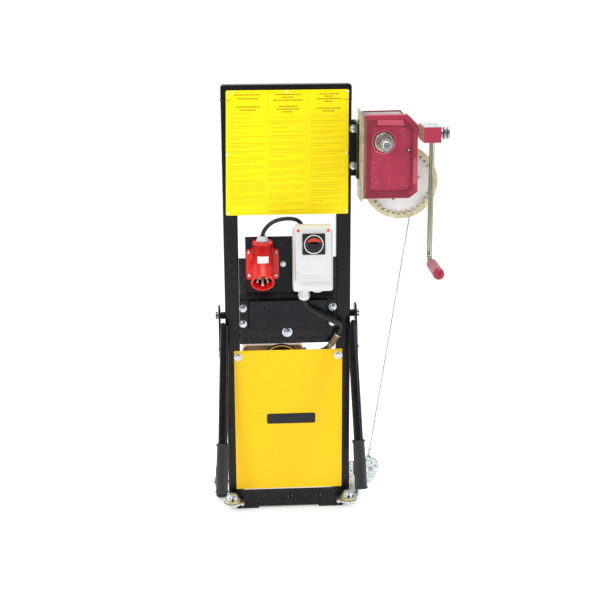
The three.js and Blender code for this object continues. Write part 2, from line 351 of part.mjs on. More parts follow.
// ---- rope and hook block ----
put("rope_line", rod([ROPE_TOP.x, ROPE_TOP.y, ROPE_TOP.z], [ROPE_BOT.x, ROPE_BOT.y, ROPE_BOT.z], ROPE_D / 2, 8), 0xb4b7b9, 0.5, 0.7);
{
  const P = new THREE.Vector2(HOOK.topX, HOOK.topZ), Q = new THREE.Vector2(HOOK.botX, HOOK.botZ), u = Q.clone().sub(P).normalize(), v = new THREE.Vector2(-u.y, u.x);
  const L = (a, b) => [P.x + u.x * a + v.x * b, P.y + u.y * a + v.y * b];
  const y = HOOK.y;
  const cheek = [[8, -12], [14, -20], [32, -21], [54, -20], [78, -12], [96, -8.5], [96, 8.5], [76, 17], [54, 24], [32, 23], [16, 21], [8, 15.5]].map(p => L(...p)).reverse();
  const hole = L(32, 1.5);
  let s = slabXZ(cheek, y - 10, y - 7).add(slabXZ(cheek, y + 7, y + 10));
  s = s.add(slabXZ([[3.2, -23], [10.8, -23], [10.8, 9], [3.2, 9]].map(p => L(...p)).reverse(), y - 9.5, y + 9.5)).add(slabXZ([[84, -8], [98, -8], [98, 8], [84, 8]].map(p => L(...p)).reverse(), y - 9.5, y + 9.5));
  s = s.add(rod([hole[0], y - 12, hole[1]], [hole[0], y + 12, hole[1]], 5, 16));
  s = s.subtract(rod([L(82, 0)[0], y, L(82, 0)[1]], [L(100, 0)[0], y, L(100, 0)[1]], 4.085, 24));
  put("hook_block", s, 0xbfc8cc, 0.4, 0.7);
  put("block_sheave", turn([[5.06, -6.5], [19.5, -6.5], [19.5, -4], [15.5, 0], [19.5, 4], [19.5, 6.5], [5.06, 6.5], [5.06, -6.5]], [hole[0], y, hole[1]], [0, 1, 0], 24), ...STEEL);
  // swivel hook: shank, collar and bowl
  const c = (a, b) => { const q = L(a, b); return [q[0], y, q[1]]; };
  let h = rod(c(90, 0), c(106, 0), 4, 14).add(rod(c(98.6, 0), c(105, 0), 8, 14));
  h = h.add(tube([c(104, 0), c(111, 1.5), c(120, 4), c(130, 6), c(140, 6.4), c(148, 5), c(154, 0), c(156, -7), c(153.5, -14), c(144.5, -19)], 4.6, 20, 8));
  put("block_hook", h, ...STEEL);
  put("hook_latch", slabXZ([[111, -8], [115, -6.4], [139.5, -12], [138, -14.6]].map(p => L(...p)).reverse(), y - 1.8, y + 1.8), ...ZINC);
  const pin = L(146, -7);
  put("tie_lug", slabXZ([[175.4, 8], [190, 8], [193, 40], [192, 84], [187.5, 96], [187.5, 127], [184, 131], [175.4, 131]], 6.5, 12.5).subtract(rod([181.4, 0, 103], [181.4, 14, 103], 3, 14)).add(rod([pin[0], -16.5, pin[1]], [pin[0], 8, pin[1]], 3.6, 12)), ...ZINC);
}

const bounds = new THREE.Box3().setFromObject(root);
root.position.set(-(bounds.min.x + bounds.max.x) / 2, -(bounds.min.y + bounds.max.y) / 2, -bounds.min.z);
export default root;
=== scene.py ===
import bpy
import json
import math
import random
import numpy as np
from mathutils import Vector, Matrix, Quaternion


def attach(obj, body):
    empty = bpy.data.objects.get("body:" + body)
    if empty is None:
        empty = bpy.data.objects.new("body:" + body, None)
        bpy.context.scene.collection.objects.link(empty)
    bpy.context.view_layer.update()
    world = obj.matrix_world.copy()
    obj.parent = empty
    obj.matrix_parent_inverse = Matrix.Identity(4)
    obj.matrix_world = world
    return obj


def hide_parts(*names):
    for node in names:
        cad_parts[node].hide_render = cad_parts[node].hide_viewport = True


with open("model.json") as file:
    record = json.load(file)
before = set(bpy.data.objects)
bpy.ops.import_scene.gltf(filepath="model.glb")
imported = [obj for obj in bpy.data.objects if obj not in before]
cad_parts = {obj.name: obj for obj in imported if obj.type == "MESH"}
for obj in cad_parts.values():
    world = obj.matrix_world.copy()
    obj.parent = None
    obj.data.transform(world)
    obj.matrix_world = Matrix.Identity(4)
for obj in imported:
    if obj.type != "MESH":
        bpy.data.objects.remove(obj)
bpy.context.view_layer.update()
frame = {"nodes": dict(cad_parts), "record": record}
random.seed(7)

OX, OY = 98.5, 16.0   # mm, the frame's origin; all numbers below are from the floor, the uprights' front and the middle of the frame
COLL = bpy.context.scene.collection


def V(x, y, z):
    return Vector(((x - OX) / 1000.0, (y - OY) / 1000.0, z / 1000.0))


# ------------------------------------------------------------------ camera
cam_data = bpy.data.cameras.new("cam")
cam_data.sensor_width = 36.0
cam_data.lens = 1218.7 / 600 * 36
cam_data.clip_end = 50
cam_data.dof.use_dof = False
cam = bpy.data.objects.new("cam", cam_data)
COLL.objects.link(cam)
yaw, pitch, roll = math.radians(3.52), math.radians(15.85), math.radians(-0.26)
f0 = Vector((math.sin(yaw), math.cos(yaw), 0)); r0 = Vector((math.cos(yaw), -math.sin(yaw), 0)); u0 = Vector((0, 0, 1))
fw = f0 * math.cos(pitch) - u0 * math.sin(pitch); up = u0 * math.cos(pitch) + f0 * math.sin(pitch)
rt = r0 * math.cos(roll) + up * math.sin(roll); up = -r0 * math.sin(roll) + up * math.cos(roll)
cam.matrix_world = Matrix(((rt.x, up.x, -fw.x, 0), (rt.y, up.y, -fw.y, 0), (rt.z, up.z, -fw.z, 0), (0, 0, 0, 1)))
cam.location = V(-166.35, -3258.1, 1553.4)
bpy.context.scene.camera = cam


# ------------------------------------------------------------------ materials
def node_mat(name, base, rough=0.5, metal=0.0, bump=0.15, bscale=300.0, var=0.06, vscale=25.0, rvar=0.08, rscale=60.0,
             scratch=0.0, dust=0.0, dust_col=(0.35, 0.34, 0.32), coat=0.0, spec=0.5, orange=0.0, bevel=0.0, stretch=(1, 1, 1),
             dark=0.0, tint=None, edge_wear_and_highlight=0.0, edge_wear_and_highlight_col=(0.45, 0.45, 0.46), speckle=0.0, sheen=0.0, subsurface=0.0):
    m = bpy.data.materials.new(name)
    m.use_nodes = True
    nt = m.node_tree
    N, L = nt.nodes, nt.links
    b = N["Principled BSDF"]
    b.inputs["Metallic"].default_value = metal
    b.inputs["Specular IOR Level"].default_value = spec
    b.inputs["Coat Weight"].default_value = coat
    b.inputs["Coat Roughness"].default_value = 0.12
    if sheen:
        b.inputs["Sheen Weight"].default_value = sheen
    tc = N.new("ShaderNodeTexCoord")
    mp = N.new("ShaderNodeMapping")
    mp.inputs["Scale"].default_value = stretch
    L.new(tc.outputs["Object"], mp.inputs["Vector"])

    def noise(scale, detail=4.0, rough_=0.55, vec=None):
        n = N.new("ShaderNodeTexNoise")
        n.inputs["Scale"].default_value = scale
        n.inputs["Detail"].default_value = detail
        n.inputs["Roughness"].default_value = rough_
        L.new(vec or mp.outputs["Vector"], n.inputs["Vector"])
        return n.outputs["Fac"]

    def maprange(v, a, b_, c, d):
        n = N.new("ShaderNodeMapRange")
        n.inputs["From Min"].default_value = a
        n.inputs["From Max"].default_value = b_
        n.inputs["To Min"].default_value = c
        n.inputs["To Max"].default_value = d
        L.new(v, n.inputs["Value"])
        return n.outputs["Result"]

    def mix(fac, a, b_):
        n = N.new("ShaderNodeMix")
        n.data_type = "RGBA"
        if hasattr(fac, "node"):
            L.new(fac, n.inputs[0])
        else:
            n.inputs[0].default_value = fac
        for s, v in ((6, a), (7, b_)):
            if hasattr(v, "node"):
                L.new(v, n.inputs[s])
            else:
                n.inputs[s].default_value = (*v, 1)
        return n.outputs[2]

    lo = tuple(max(0, c * (1 - var)) for c in base)
    hi = tuple(min(1, c * (1 + var)) for c in base)
    if tint:
        hi = tint
    col = mix(maprange(noise(vscale), 0.35, 0.65, 0, 1), lo, hi)
    if speckle:
        col = mix(maprange(noise(1400, 2), 0.62, 0.7, 0, speckle), col, tuple(min(1, c * 1.8 + 0.04) for c in base))
    rfac = maprange(noise(rscale), 0.3, 0.7, rough - rvar, rough + rvar)
    if dust:
        d = maprange(noise(14, 6, 0.65), 0.45, 0.75, 0, dust)
        col = mix(d, col, dust_col)
    # lightens convex edges towards the edge colour: partly real edge wear, partly a painted edge highlight
    if edge_wear_and_highlight:
        geo_n = N.new("ShaderNodeNewGeometry")
        e = maprange(geo_n.outputs["Pointiness"], 0.52, 0.58, 0, 1)
        w = N.new("ShaderNodeMath"); w.operation = "MULTIPLY"
        L.new(e, w.inputs[0]); L.new(maprange(noise(120, 5, 0.7), 0.45, 0.6, 0, edge_wear_and_highlight), w.inputs[1])
        col = mix(w.outputs[0], col, edge_wear_and_highlight_col)
    if scratch:
        m2 = N.new("ShaderNodeMapping")
        m2.inputs["Scale"].default_value = (8, 8, 1500)
        m2.inputs["Rotation"].default_value = (0.25, 0.5, 0.2)
        L.new(tc.outputs["Object"], m2.inputs["Vector"])
        s = maprange(noise(1.0, 3, 0.5, m2.outputs["Vector"]), 0.74, 0.78, 0, scratch)
        col = mix(s, col, tuple(min(1, c * 1.5 + 0.08) for c in base))
        radd = N.new("ShaderNodeMath"); radd.operation = "ADD"
        L.new(rfac, radd.inputs[0]); L.new(s, radd.inputs[1]); rfac = radd.outputs[0]
    L.new(col, b.inputs["Base Color"])
    L.new(rfac, b.inputs["Roughness"])
    bn = N.new("ShaderNodeBump")
    bn.inputs["Strength"].default_value = bump
    bn.inputs["Distance"].default_value = 0.0006
    L.new(noise(bscale, 5), bn.inputs["Height"])
    last = bn
    if orange:
        b2 = N.new("ShaderNodeBump")
        b2.inputs["Strength"].default_value = orange
        b2.inputs["Distance"].default_value = 0.004
        L.new(noise(9.0, 2), b2.inputs["Height"])
        L.new(b2.outputs["Normal"], bn.inputs["Normal"])
    if bevel:
        bv = N.new("ShaderNodeBevel")
        bv.samples = 4
        bv.inputs["Radius"].default_value = bevel
        L.new(bv.outputs["Normal"], (b2 if orange else bn).inputs["Normal"])
    L.new(last.outputs["Normal"], b.inputs["Normal"])
    return m


M = {}
M["black"] = node_mat("black_paint", (0.0030, 0.0034, 0.0060), 0.26, 0, 0.015, 900, 0.2, 10, 0.03, 30, scratch=0.01, dust=0.003, orange=0.006, coat=0.0, spec=0.22, edge_wear_and_highlight=0.04)
M["black_matt"] = node_mat("black_matt", (0.0030, 0.0034, 0.0055), 0.34, 0, 0.02, 900, 0.12, 10, 0.03, 30, scratch=0.01, dust=0.004, spec=0.2, edge_wear_and_highlight=0.06)
M["yellow"] = node_mat("yellow_cover", (0.97, 0.60, 0.003), 0.42, 0, 0.03, 700, 0.015, 5, 0.04, 10, scratch=0.02, dust=0.02, dust_col=(0.9, 0.48, 0.01), orange=0.05, spec=0.25)
M["yellow_plate"] = node_mat("yellow_plate", (0.99, 0.79, 0.002), 0.38, 0, 0.03, 700, 0.01, 6, 0.04, 14, scratch=0.02, dust=0.02, dust_col=(0.95, 0.7, 0.05), orange=0.05, spec=0.25)
M["zinc"] = node_mat("zinc_bright", (0.52, 0.53, 0.52), 0.3, 0.95, 0.12, 500, 0.08, 40, 0.10, 60, scratch=0.05, tint=(0.66, 0.66, 0.62))
M["galv"] = node_mat("galvanised", (0.47, 0.55, 0.58), 0.36, 0.85, 0.18, 420, 0.12, 80, 0.12, 100, scratch=0.05, dust=0.05, dust_col=(0.6, 0.64, 0.66), tint=(0.68, 0.74, 0.77))
M["rod"] = node_mat("rod_plating", (0.16, 0.16, 0.10), 0.22, 0.95, 0.08, 500, 0.3, 26, 0.08, 60, scratch=0.05, tint=(0.50, 0.50, 0.36), stretch=(1, 1, 0.12))
M["gold"] = node_mat("yellow_zinc", (0.62, 0.55, 0.32), 0.30, 0.8, 0.1, 500, 0.14, 26, 0.10, 60, scratch=0.05, tint=(0.78, 0.74, 0.54))
M["steel"] = node_mat("machined_steel", (0.33, 0.34, 0.36), 0.32, 0.95, 0.1, 800, 0.1, 60, 0.08, 90, scratch=0.05)
M["steel_dark"] = node_mat("dark_steel", (0.09, 0.09, 0.095), 0.45, 0.8, 0.25, 700, 0.2, 60, 0.1, 90)
M["white_metal"] = node_mat("turned_face", (0.86, 0.87, 0.86), 0.36, 0.35, 0.08, 700, 0.04, 50, 0.08, 70, scratch=0.04)
M["rope"] = node_mat("wire_rope", (0.50, 0.52, 0.54), 0.42, 0.75, 0.5, 1500, 0.2, 400, 0.12, 300)
# the red's lighter red edge colour is a painted edge highlight
M["red"] = node_mat("winch_red", (0.38, 0.024, 0.062), 0.38, 0, 0.12, 500, 0.10, 22, 0.07, 40, scratch=0.06, dust=0.10, dust_col=(0.42, 0.07, 0.11), spec=0.45, edge_wear_and_highlight=0.25, edge_wear_and_highlight_col=(0.45, 0.12, 0.16))
# a lighter copy of the winch red: painted highlight
M["red_painted_highlight"] = node_mat("winch_red_painted_highlight", (0.52, 0.075, 0.12), 0.36, 0, 0.12, 500, 0.10, 22, 0.07, 40, scratch=0.06, spec=0.5)
# a darker copy of the winch red: painted shade
M["red_painted_shade"] = node_mat("winch_red_painted_shade", (0.22, 0.016, 0.035), 0.48, 0, 0.12, 500, 0.12, 22, 0.08, 40, scratch=0.06, dust=0.06, dust_col=(0.35, 0.08, 0.1), spec=0.4)
M["grip_red"] = node_mat("grip_red", (0.30, 0.01, 0.04), 0.3, 0, 0.05, 500, 0.06, 20, 0.05, 40, scratch=0.05, coat=0.1, spec=0.4)
M["cee"] = node_mat("signal_red", (0.72, 0.014, 0.010), 0.25, 0, 0.05, 900, 0.04, 20, 0.05, 40, scratch=0.03, dust=0.02, dust_col=(0.7, 0.06, 0.04), coat=0.1, spec=0.45)
M["cee_in"] = node_mat("signal_red_inner", (0.30, 0.008, 0.005), 0.5, 0, 0.05, 900, 0.05, 20, 0.05, 40, spec=0.3)
M["grey"] = node_mat("light_grey", (0.69, 0.70, 0.71), 0.45, 0, 0.18, 1300, 0.025, 20, 0.06, 60, scratch=0.04, dust=0.06, dust_col=(0.66, 0.66, 0.64))
# a darker copy of the light grey: the tone of the inlet gland nut, and painted shade on the enclosure
M["grey_darker_and_painted_shade"] = node_mat("light_grey_darker_and_painted_shade", (0.60, 0.62, 0.63), 0.45, 0, 0.18, 1300, 0.03, 20, 0.06, 60, dust=0.08, dust_col=(0.5, 0.5, 0.48))
M["plas_black"] = node_mat("black_plastic", (0.006, 0.006, 0.007), 0.42, 0, 0.08, 1300, 0.2, 30, 0.06, 60, scratch=0.02, dust=0.01, spec=0.35)
M["plas_red"] = node_mat("red_pointer", (0.75, 0.04, 0.02), 0.35, 0, 0.1, 900, 0.05, 30, 0.05, 60)
M["pin"] = node_mat("contact_pin", (0.92, 0.88, 0.70), 0.25, 0.4, 0.1, 900, 0.08, 80, 0.1, 90)
M["rubber"] = node_mat("grip_rubber", (0.012, 0.013, 0.016), 0.5, 0, 0.15, 900, 0.2, 30, 0.06, 60, dust=0.03, dust_col=(0.05, 0.05, 0.052), spec=0.45)
M["tyre"] = node_mat("tyre_rubber", (0.012, 0.012, 0.013), 0.65, 0, 0.25, 700, 0.2, 30, 0.06, 60, dust=0.1, dust_col=(0.05, 0.05, 0.048), spec=0.3)
M["cable"] = node_mat("cable_sheath", (0.008, 0.008, 0.009), 0.42, 0, 0.1, 1200, 0.2, 60, 0.06, 60, dust=0.03, dust_col=(0.04, 0.04, 0.04), spec=0.4)
M["sleeve"] = node_mat("cable_sleeve", (0.17, 0.105, 0.045), 0.42, 0, 0.3, 900, 0.25, 50, 0.1, 60, dust=0.2, dust_col=(0.3, 0.26, 0.2))
M["ink"] = node_mat("print_dark", (0.40, 0.25, 0.004), 0.5, 0, 0.03, 900, 0.1, 200, 0.05, 60, spec=0.2)
M["bolt"] = node_mat("bolt_zinc", (0.46, 0.50, 0.55), 0.24, 0.95, 0.12, 500, 0.1, 40, 0.10, 60, scratch=0.05, tint=(0.62, 0.66, 0.70))
M["strip"] = node_mat("amber_strip", (0.30, 0.12, 0.04), 0.45, 0.2, 0.12, 500, 0.2, 22, 0.07, 40, scratch=0.06, spec=0.4)
M["ink2"] = node_mat("print_body", (0.66, 0.47, 0.004), 0.5, 0, 0.03, 900, 0.15, 300, 0.05, 60, spec=0.2)
M["decal"] = node_mat("decal_dark", (0.02, 0.021, 0.026), 0.45, 0, 0.04, 900, 0.08, 40, 0.05, 60, spec=0.2)
M["label"] = node_mat("label_white", (0.85, 0.85, 0.84), 0.4, 0, 0.05, 900, 0.02, 40, 0.05, 60)
M["beige"] = node_mat("beige_paint", (0.72, 0.55, 0.42), 0.45, 0, 0.3, 300, 0.06, 20, 0.08, 40, scratch=0.1, dust=0.1)
M["motor"] = node_mat("motor_grey", (0.09, 0.10, 0.115), 0.45, 0.1, 0.2, 260, 0.1, 20, 0.08, 40, scratch=0.04, dust=0.05, spec=0.4)
M["weld"] = node_mat("weld_bead", (0.006, 0.0065, 0.009), 0.34, 0, 0.4, 260, 0.3, 60, 0.1, 60, spec=0.4)
for k, m in M.items():
    pass


# ------------------------------------------------------------------ mesh code
class Piece:
    """Collects closed shapes, in mm above the floor, into one mesh."""
    def __init__(self):
        self.v, self.f = [], []

    def add(self, verts, faces):
        n = len(self.v)
        self.v += [tuple(p) for p in verts]
        self.f += [[i + n for i in fc] for fc in faces]
        return self

    def box(self, x0, x1, y0, y1, z0, z1):
        v = [(x, y, z) for x in (x0, x1) for y in (y0, y1) for z in (z0, z1)]
        return self.add(v, [(0, 1, 3, 2), (4, 6, 7, 5), (0, 4, 5, 1), (2, 3, 7, 6), (0, 2, 6, 4), (1, 5, 7, 3)])

    def lathe(self, prof, o, d, seg=40, phase=0.0):
        """prof: [(radius, along)] closed loop or from axis to axis, turned about o along d."""
        d = Vector(d).normalized()
        a = d.orthogonal().normalized()
        if abs(d.z) < 0.9:
            a = Vector((0, 0, 1)) - d * d.z
            a.normalize()
        b = d.cross(a)
        o = Vector(o)
        verts, rings = [], []
        for r, t in prof:
            if r < 1e-6:
                rings.append([len(verts)])
                verts.append(o + d * t)
            else:
                ring = []
                for i in range(seg):
                    th = 2 * math.pi * i / seg + phase
                    ring.append(len(verts))
                    verts.append(o + d * t + (a * math.cos(th) + b * math.sin(th)) * r)
                rings.append(ring)
        faces = []
        closed = prof[0] == prof[-1] or (prof[0][0] > 1e-6 and prof[-1][0] > 1e-6)
        if prof[0] == prof[-1] and prof[0][0] > 1e-6:
            rings = rings[:-1]
            pairs = [(i, (i + 1) % len(rings)) for i in range(len(rings))]
        elif closed:
            pairs = [(i, (i + 1) % len(rings)) for i in range(len(rings))]
        else:
            pairs = [(i, i + 1) for i in range(len(rings) - 1)]
        for i, j in pairs:
            A, B = rings[i], rings[j]
            for k in range(seg):
                k2 = (k + 1) % seg
                if len(A) == 1 and len(B) == 1:
                    continue
                if len(A) == 1:
                    faces.append((A[0], B[k2], B[k]))
                elif len(B) == 1:
                    faces.append((A[k], A[k2], B[0]))
                else:
                    faces.append((A[k], A[k2], B[k2], B[k]))
        return self.add(verts, faces)

    def cyl(self, a, b, r, seg=32, r2=None, ch=0.0):
        a, b = Vector(a), Vector(b)
        L = (b - a).length
        r2 = r if r2 is None else r2
        if ch:
            pr = [(0, 0), (r - ch, 0), (r, ch), (r2, L - ch), (r2 - ch, L), (0, L)]
        else:
            pr = [(0, 0), (r, 0), (r2, L), (0, L)]
        return self.lathe(pr, a, b - a, seg)

    def prism(self, pts, axis, a, b, holes=()):
        """Outline in the two other axes, extruded along axis from a to b."""
        def P(p, t):
            return {"y": (p[0], t, p[1]), "z": (p[0], p[1], t), "x": (t, p[0], p[1])}[axis]
        if not holes:
            n = len(pts)
            v = [P(p, a) for p in pts] + [P(p, b) for p in pts]
            f = [list(range(n))[::-1], list(range(n, 2 * n))] + [(i, (i + 1) % n, n + (i + 1) % n, n + i) for i in range(n)]
            return self.add(v, f)
        from mathutils.geometry import delaunay_2d_cdt
        loops = [list(pts)] + [list(h) for h in holes]
        co, edges, k = [], [], 0
        for lp in loops:
            n = len(lp)
            co += [Vector((p[0], p[1])) for p in lp]
            edges += [(k + i, k + (i + 1) % n) for i in range(n)]
            k += n
        ov, oe, of, *_ = delaunay_2d_cdt(co, edges, [], 0, 1e-5)

        def inside(pt, lp):
            c = False
            j = len(lp) - 1
            for i in range(len(lp)):
                xi, yi = lp[i]; xj, yj = lp[j]
                if (yi > pt[1]) != (yj > pt[1]) and pt[0] < (xj - xi) * (pt[1] - yi) / (yj - yi) + xi:
                    c = not c
                j = i
            return c
        tris = []
        for fc in of:
            c = sum((ov[i] for i in fc), Vector((0, 0))) / len(fc)
            if inside(c, loops[0]) and not any(inside(c, h) for h in loops[1:]):
                tris.append(fc)
        n = len(ov)
        v = [P(p, a) for p in ov] + [P(p, b) for p in ov]
        f = [list(t)[::-1] for t in tris] + [[i + n for i in t] for t in tris]
        cnt = {}
        for t in tris:
            for i in range(len(t)):
                e = (t[i], t[(i + 1) % len(t)])
                cnt[e] = cnt.get(e, 0) + 1
        for (i, j) in cnt:
            if (j, i) not in cnt:
                f.append((i, j, j + n, i + n))
        return self.add(v, f)

    def tube(self, pts, r, seg=20, caps=True, step=None, radii=None, smooth=True):
        P = catmull([Vector(p) for p in pts], step or r * 0.9) if smooth else [Vector(p) for p in pts]
        n = len(P)
        T = [(P[min(i + 1, n - 1)] - P[max(i - 1, 0)]).normalized() for i in range(n)]
        nrm = T[0].orthogonal().normalized()
        verts, rings = [], []
        for i in range(n):
            if i:
                q = T[i - 1].rotation_difference(T[i])
                nrm = q @ nrm
            bi = T[i].cross(nrm)
            rr = radii(i / (n - 1)) if radii else r
            rings.append([len(verts) + k for k in range(seg)])
            for k in range(seg):
                th = 2 * math.pi * k / seg
                verts.append(P[i] + (nrm * math.cos(th) + bi * math.sin(th)) * rr)
        faces = []
        for i in range(n - 1):
            for k in range(seg):
                k2 = (k + 1) % seg
                faces.append((rings[i][k], rings[i][k2], rings[i + 1][k2], rings[i + 1][k]))
        if caps:
            faces.append(rings[0][::-1]); faces.append(rings[-1])
        return self.add(verts, faces)

    def hexhead(self, base, d, af, h, washer_r=0, washer_h=0, bore=0, phase=0.0, stud=0, stud_h=0, domed=True):
        """Washer and chamfered hexagon head standing on base along d."""
        d = Vector(d).normalized(); o = Vector(base)
        if washer_r:
            self.lathe([(0, 0), (washer_r - 0.3, 0), (washer_r, 0.3), (washer_r, washer_h - 0.4), (washer_r - 0.5, washer_h), (0, washer_h)], o, d, 36)
        o2 = o + d * washer_h
        R = af / 2 / math.cos(math.pi / 6)
        rin = af / 2
        n = 6
        a = d.orthogonal().normalized()
        if abs(d.z) < 0.9:
            a = (Vector((0, 0, 1)) - d * d.z).normalized()
        b = d.cross(a)
        pts = []
        for k in range(n * 4):
            th = 2 * math.pi * k / (n * 4) + phase
            local = (th - phase) % (math.pi / 3) - math.pi / 6
            rr = rin / math.cos(local)
            pts.append((th, rr))
        verts, rings = [], []
        for t, lim in ((0, 9e9), (h * 0.82, 9e9), (h, rin * 0.97)):
            ring = []
            for th, rr in pts:
                q = min(rr, lim)
                tt = t
                if t == h * 0.82:
                    tt = h - (rr - rin) * 0.55 - 0.25
                ring.append(len(verts))
                verts.append(o2 + d * tt + (a * math.cos(th) + b * math.sin(th)) * q)
            rings.append(ring)
        faces = []
        m = len(pts)
        for i in range(2):
            for k in range(m):
                k2 = (k + 1) % m
                faces.append((rings[i][k], rings[i][k2], rings[i + 1][k2], rings[i + 1][k]))
        faces.append(rings[0][::-1]); faces.append(rings[2])
        self.add(verts, faces)
        if stud:
            self.cyl(o2 + d * (h - 0.5), o2 + d * (h + stud_h), stud, 24, ch=0.6)
        return self

    def make(self, name, mat, body, bevel=0.0, angle=35, segs=2, slot=None, weld=0.002):
        me = bpy.data.meshes.new(name)
        me.from_pydata([V(*p) for p in self.v], [], self.f)
        me.update()
        return finish_obj(name, me, mat, body, bevel, angle, segs, weld)


def finish_obj(name, me, mat, body, bevel=0.0, angle=35, segs=2, weld=0.002):
    import bmesh
    bm = bmesh.new()
    bm.from_mesh(me)
    if weld:
        bmesh.ops.remove_doubles(bm, verts=bm.verts, dist=weld / 1000.0)
    bmesh.ops.recalc_face_normals(bm, faces=bm.faces)
    if bevel:
        es = [e for e in bm.edges if len(e.link_faces) == 2 and e.calc_face_angle(0) > math.radians(angle)]
        if es:
            bmesh.ops.bevel(bm, geom=es, offset=bevel / 1000.0, offset_type="OFFSET", segments=segs, profile=0.6, affect="EDGES", clamp_overlap=True)
    for fc in bm.faces:
        fc.smooth = True
    lim = math.radians(angle if not bevel else 50)
    for e in bm.edges:
        if len(e.link_faces) == 2 and e.calc_face_angle(0) > lim:
            e.smooth = False
    bm.to_mesh(me)
    bm.free()
    me.materials.clear()
    me.materials.append(M[mat])
    o = bpy.data.objects.new(name, me)
    COLL.objects.link(o)
    if bevel:
        wn = o.modifiers.new("wn", "WEIGHTED_NORMAL")
        wn.keep_sharp = True
    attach(o, body)
    return o


def catmull(P, step):
    n = len(P)
    ext = [P[0] * 2 - P[1]] + list(P) + [P[-1] * 2 - P[-2]]
    out = []
    for i in range(1, n):
        p0, p1, p2, p3 = ext[i - 1], ext[i], ext[i + 1], ext[i + 2]
        t0 = 0; t1 = t0 + (p1 - p0).length ** 0.5; t2 = t1 + (p2 - p1).length ** 0.5; t3 = t2 + (p3 - p2).length ** 0.5
        k = max(1, int(round((p2 - p1).length / step)))
        for j in range(k):
            t = t1 + (t2 - t1) * j / k
            a1 = p0 * ((t1 - t) / (t1 - t0)) + p1 * ((t - t0) / (t1 - t0))
            a2 = p1 * ((t2 - t) / (t2 - t1)) + p2 * ((t - t1) / (t2 - t1))
            a3 = p2 * ((t3 - t) / (t3 - t2)) + p3 * ((t - t2) / (t3 - t2))
            b1 = a1 * ((t2 - t) / (t2 - t0)) + a2 * ((t - t0) / (t2 - t0))
            b2 = a2 * ((t3 - t) / (t3 - t1)) + a3 * ((t - t1) / (t3 - t1))
            out.append(b1 * ((t2 - t) / (t2 - t1)) + b2 * ((t - t1) / (t2 - t1)))
    out.append(P[-1])
    return out


BODY_OF = {n: b for b, ns in frame["record"]["behaviour"]["bodies"].items() for n in ns}


def upgrade(node, mat, bevel=0.8, angle=28, segs=2):
    """The CAD solid itself, welded, its flat facets merged, its edges rounded."""
    import bmesh
    src = frame["nodes"][node]
    me = src.data.copy()
    me.name = node + "_skin"
    for a in list(me.attributes):
        if a.name in ("custom_normal",):
            me.attributes.remove(a)
    bm = bmesh.new(); bm.from_mesh(me)
    bmesh.ops.remove_doubles(bm, verts=bm.verts, dist=2e-5)
    bmesh.ops.dissolve_limit(bm, angle_limit=math.radians(0.6), verts=bm.verts, edges=bm.edges)
    bm.to_mesh(me); bm.free()
    o = finish_obj(node + "_skin", me, mat, BODY_OF[node], bevel, angle, segs, 0)
    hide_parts(node)
    return o


def restyle(node, mat):
    o = frame["nodes"][node]
    o.data.materials.clear()
    o.data.materials.append(M[mat])


def rr(x0, x1, y0, y1, r, n=5):
    p = []
    for cx, cy, a in ((x1 - r, y1 - r, 0), (x0 + r, y1 - r, 1), (x0 + r, y0 + r, 2), (x1 - r, y0 + r, 3)):
        for i in range(n + 1):
            t = (a + i / n) * math.pi / 2
            p.append((cx + r * math.cos(t), cy + r * math.sin(t)))
    return p


def circ(cx, cy, r, n=32, ph=0.0):
    return [(cx + r * math.cos(ph + 2 * math.pi * i / n), cy + r * math.sin(ph + 2 * math.pi * i / n)) for i in range(n)]


# ------------------------------------------------------------------ frame
for n in ("upright_left", "upright_right"):
    upgrade(n, "black", 0.9, 28)
for n in ("top_bar", "crossbar_mid", "crossbar_low", "base_rail_left", "base_rail_right", "rear_bar", "base_panel", "rear_plate", "mount_plate", "cross_panel", "motor_shelf", "winch_bracket"):
    upgrade(n, "black" if n in ("top_bar", "crossbar_mid", "base_panel", "cross_panel") else "black_matt", 0.7, 28)
for n in ("pad_left", "pad_right"):
    upgrade(n, "rubber", 0.8, 28)
w = Piece()
for s in (-1, 1):
    w.tube([(s * 135.2, -0.6, FH) for FH in (1180.2,)] + [(s * 150, -0.9, 1180.6), (s * 165, -0.9, 1180.6), (s * 174.6, -0.4, 1180.2)], 1.5, 10)
    w.tube([(s * 175.2, 2, 1180.6), (s * 175.4, 15, 1180.6), (s * 175.2, 28, 1180.6)], 1.3, 10)
    for zz in (519.5, 544.3):
        w.tube([(s * 134.4, 1, zz), (s * 134.2, 13, zz), (s * 134.4, 27, zz)], 1.6, 10)
w.make("weld_beads", "weld", "frame", 0)

# rubber pads' ribs are under them; the panel edge bolts and plugs
p = Piece()
for x, z in ((-150, 51), (150, 51)):
    p.hexhead((x, -5.4, z), (0, -1, 0), 10, 5, 8, 1.2)
for x, z in ((-82, 36), (1.8, 36), (84.6, 36.6)):
    p.lathe([(0, 0), (5.4, 0), (5.4, 2.4), (4.8, 3.0), (2.6, 3.0), (2.5, 1.2), (0, 1.2)], (x, 0.5, z), (0, -1, 0), 24)
p.make("base_panel_bolts", "black_matt", "frame", 0.15)

# ------------------------------------------------------------------ instruction plate
pl = Piece()
pl.prism([(px + 6.5 * (pz - 870) / 337 * (166.7 - px) / 333.5, pz) for px, pz in rr(-166.8, 166.7, 870, 1207, 4)], "y", -2.3, -0.3)
o = pl.make("instruction_plate_sheet", "yellow_plate", "frame", 0.25)
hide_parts("instruction_plate")


def px2plate(u, v):
    """Place on the plate from a 0..1 grid: across, down."""
    left = -166.8 + 6.5 * (1 - v)
    return left + u * (166.7 - left), 1207 - v * 337


ink, ink2 = Piece(), Piece()
Y_INK = -2.42


def bar(pc, u0, u1, v, h):
    x0, z = px2plate(u0, v); x1, _ = px2plate(u1, v)
    pc.box(x0, x1, Y_INK, -2.28, z - h / 2, z + h / 2)


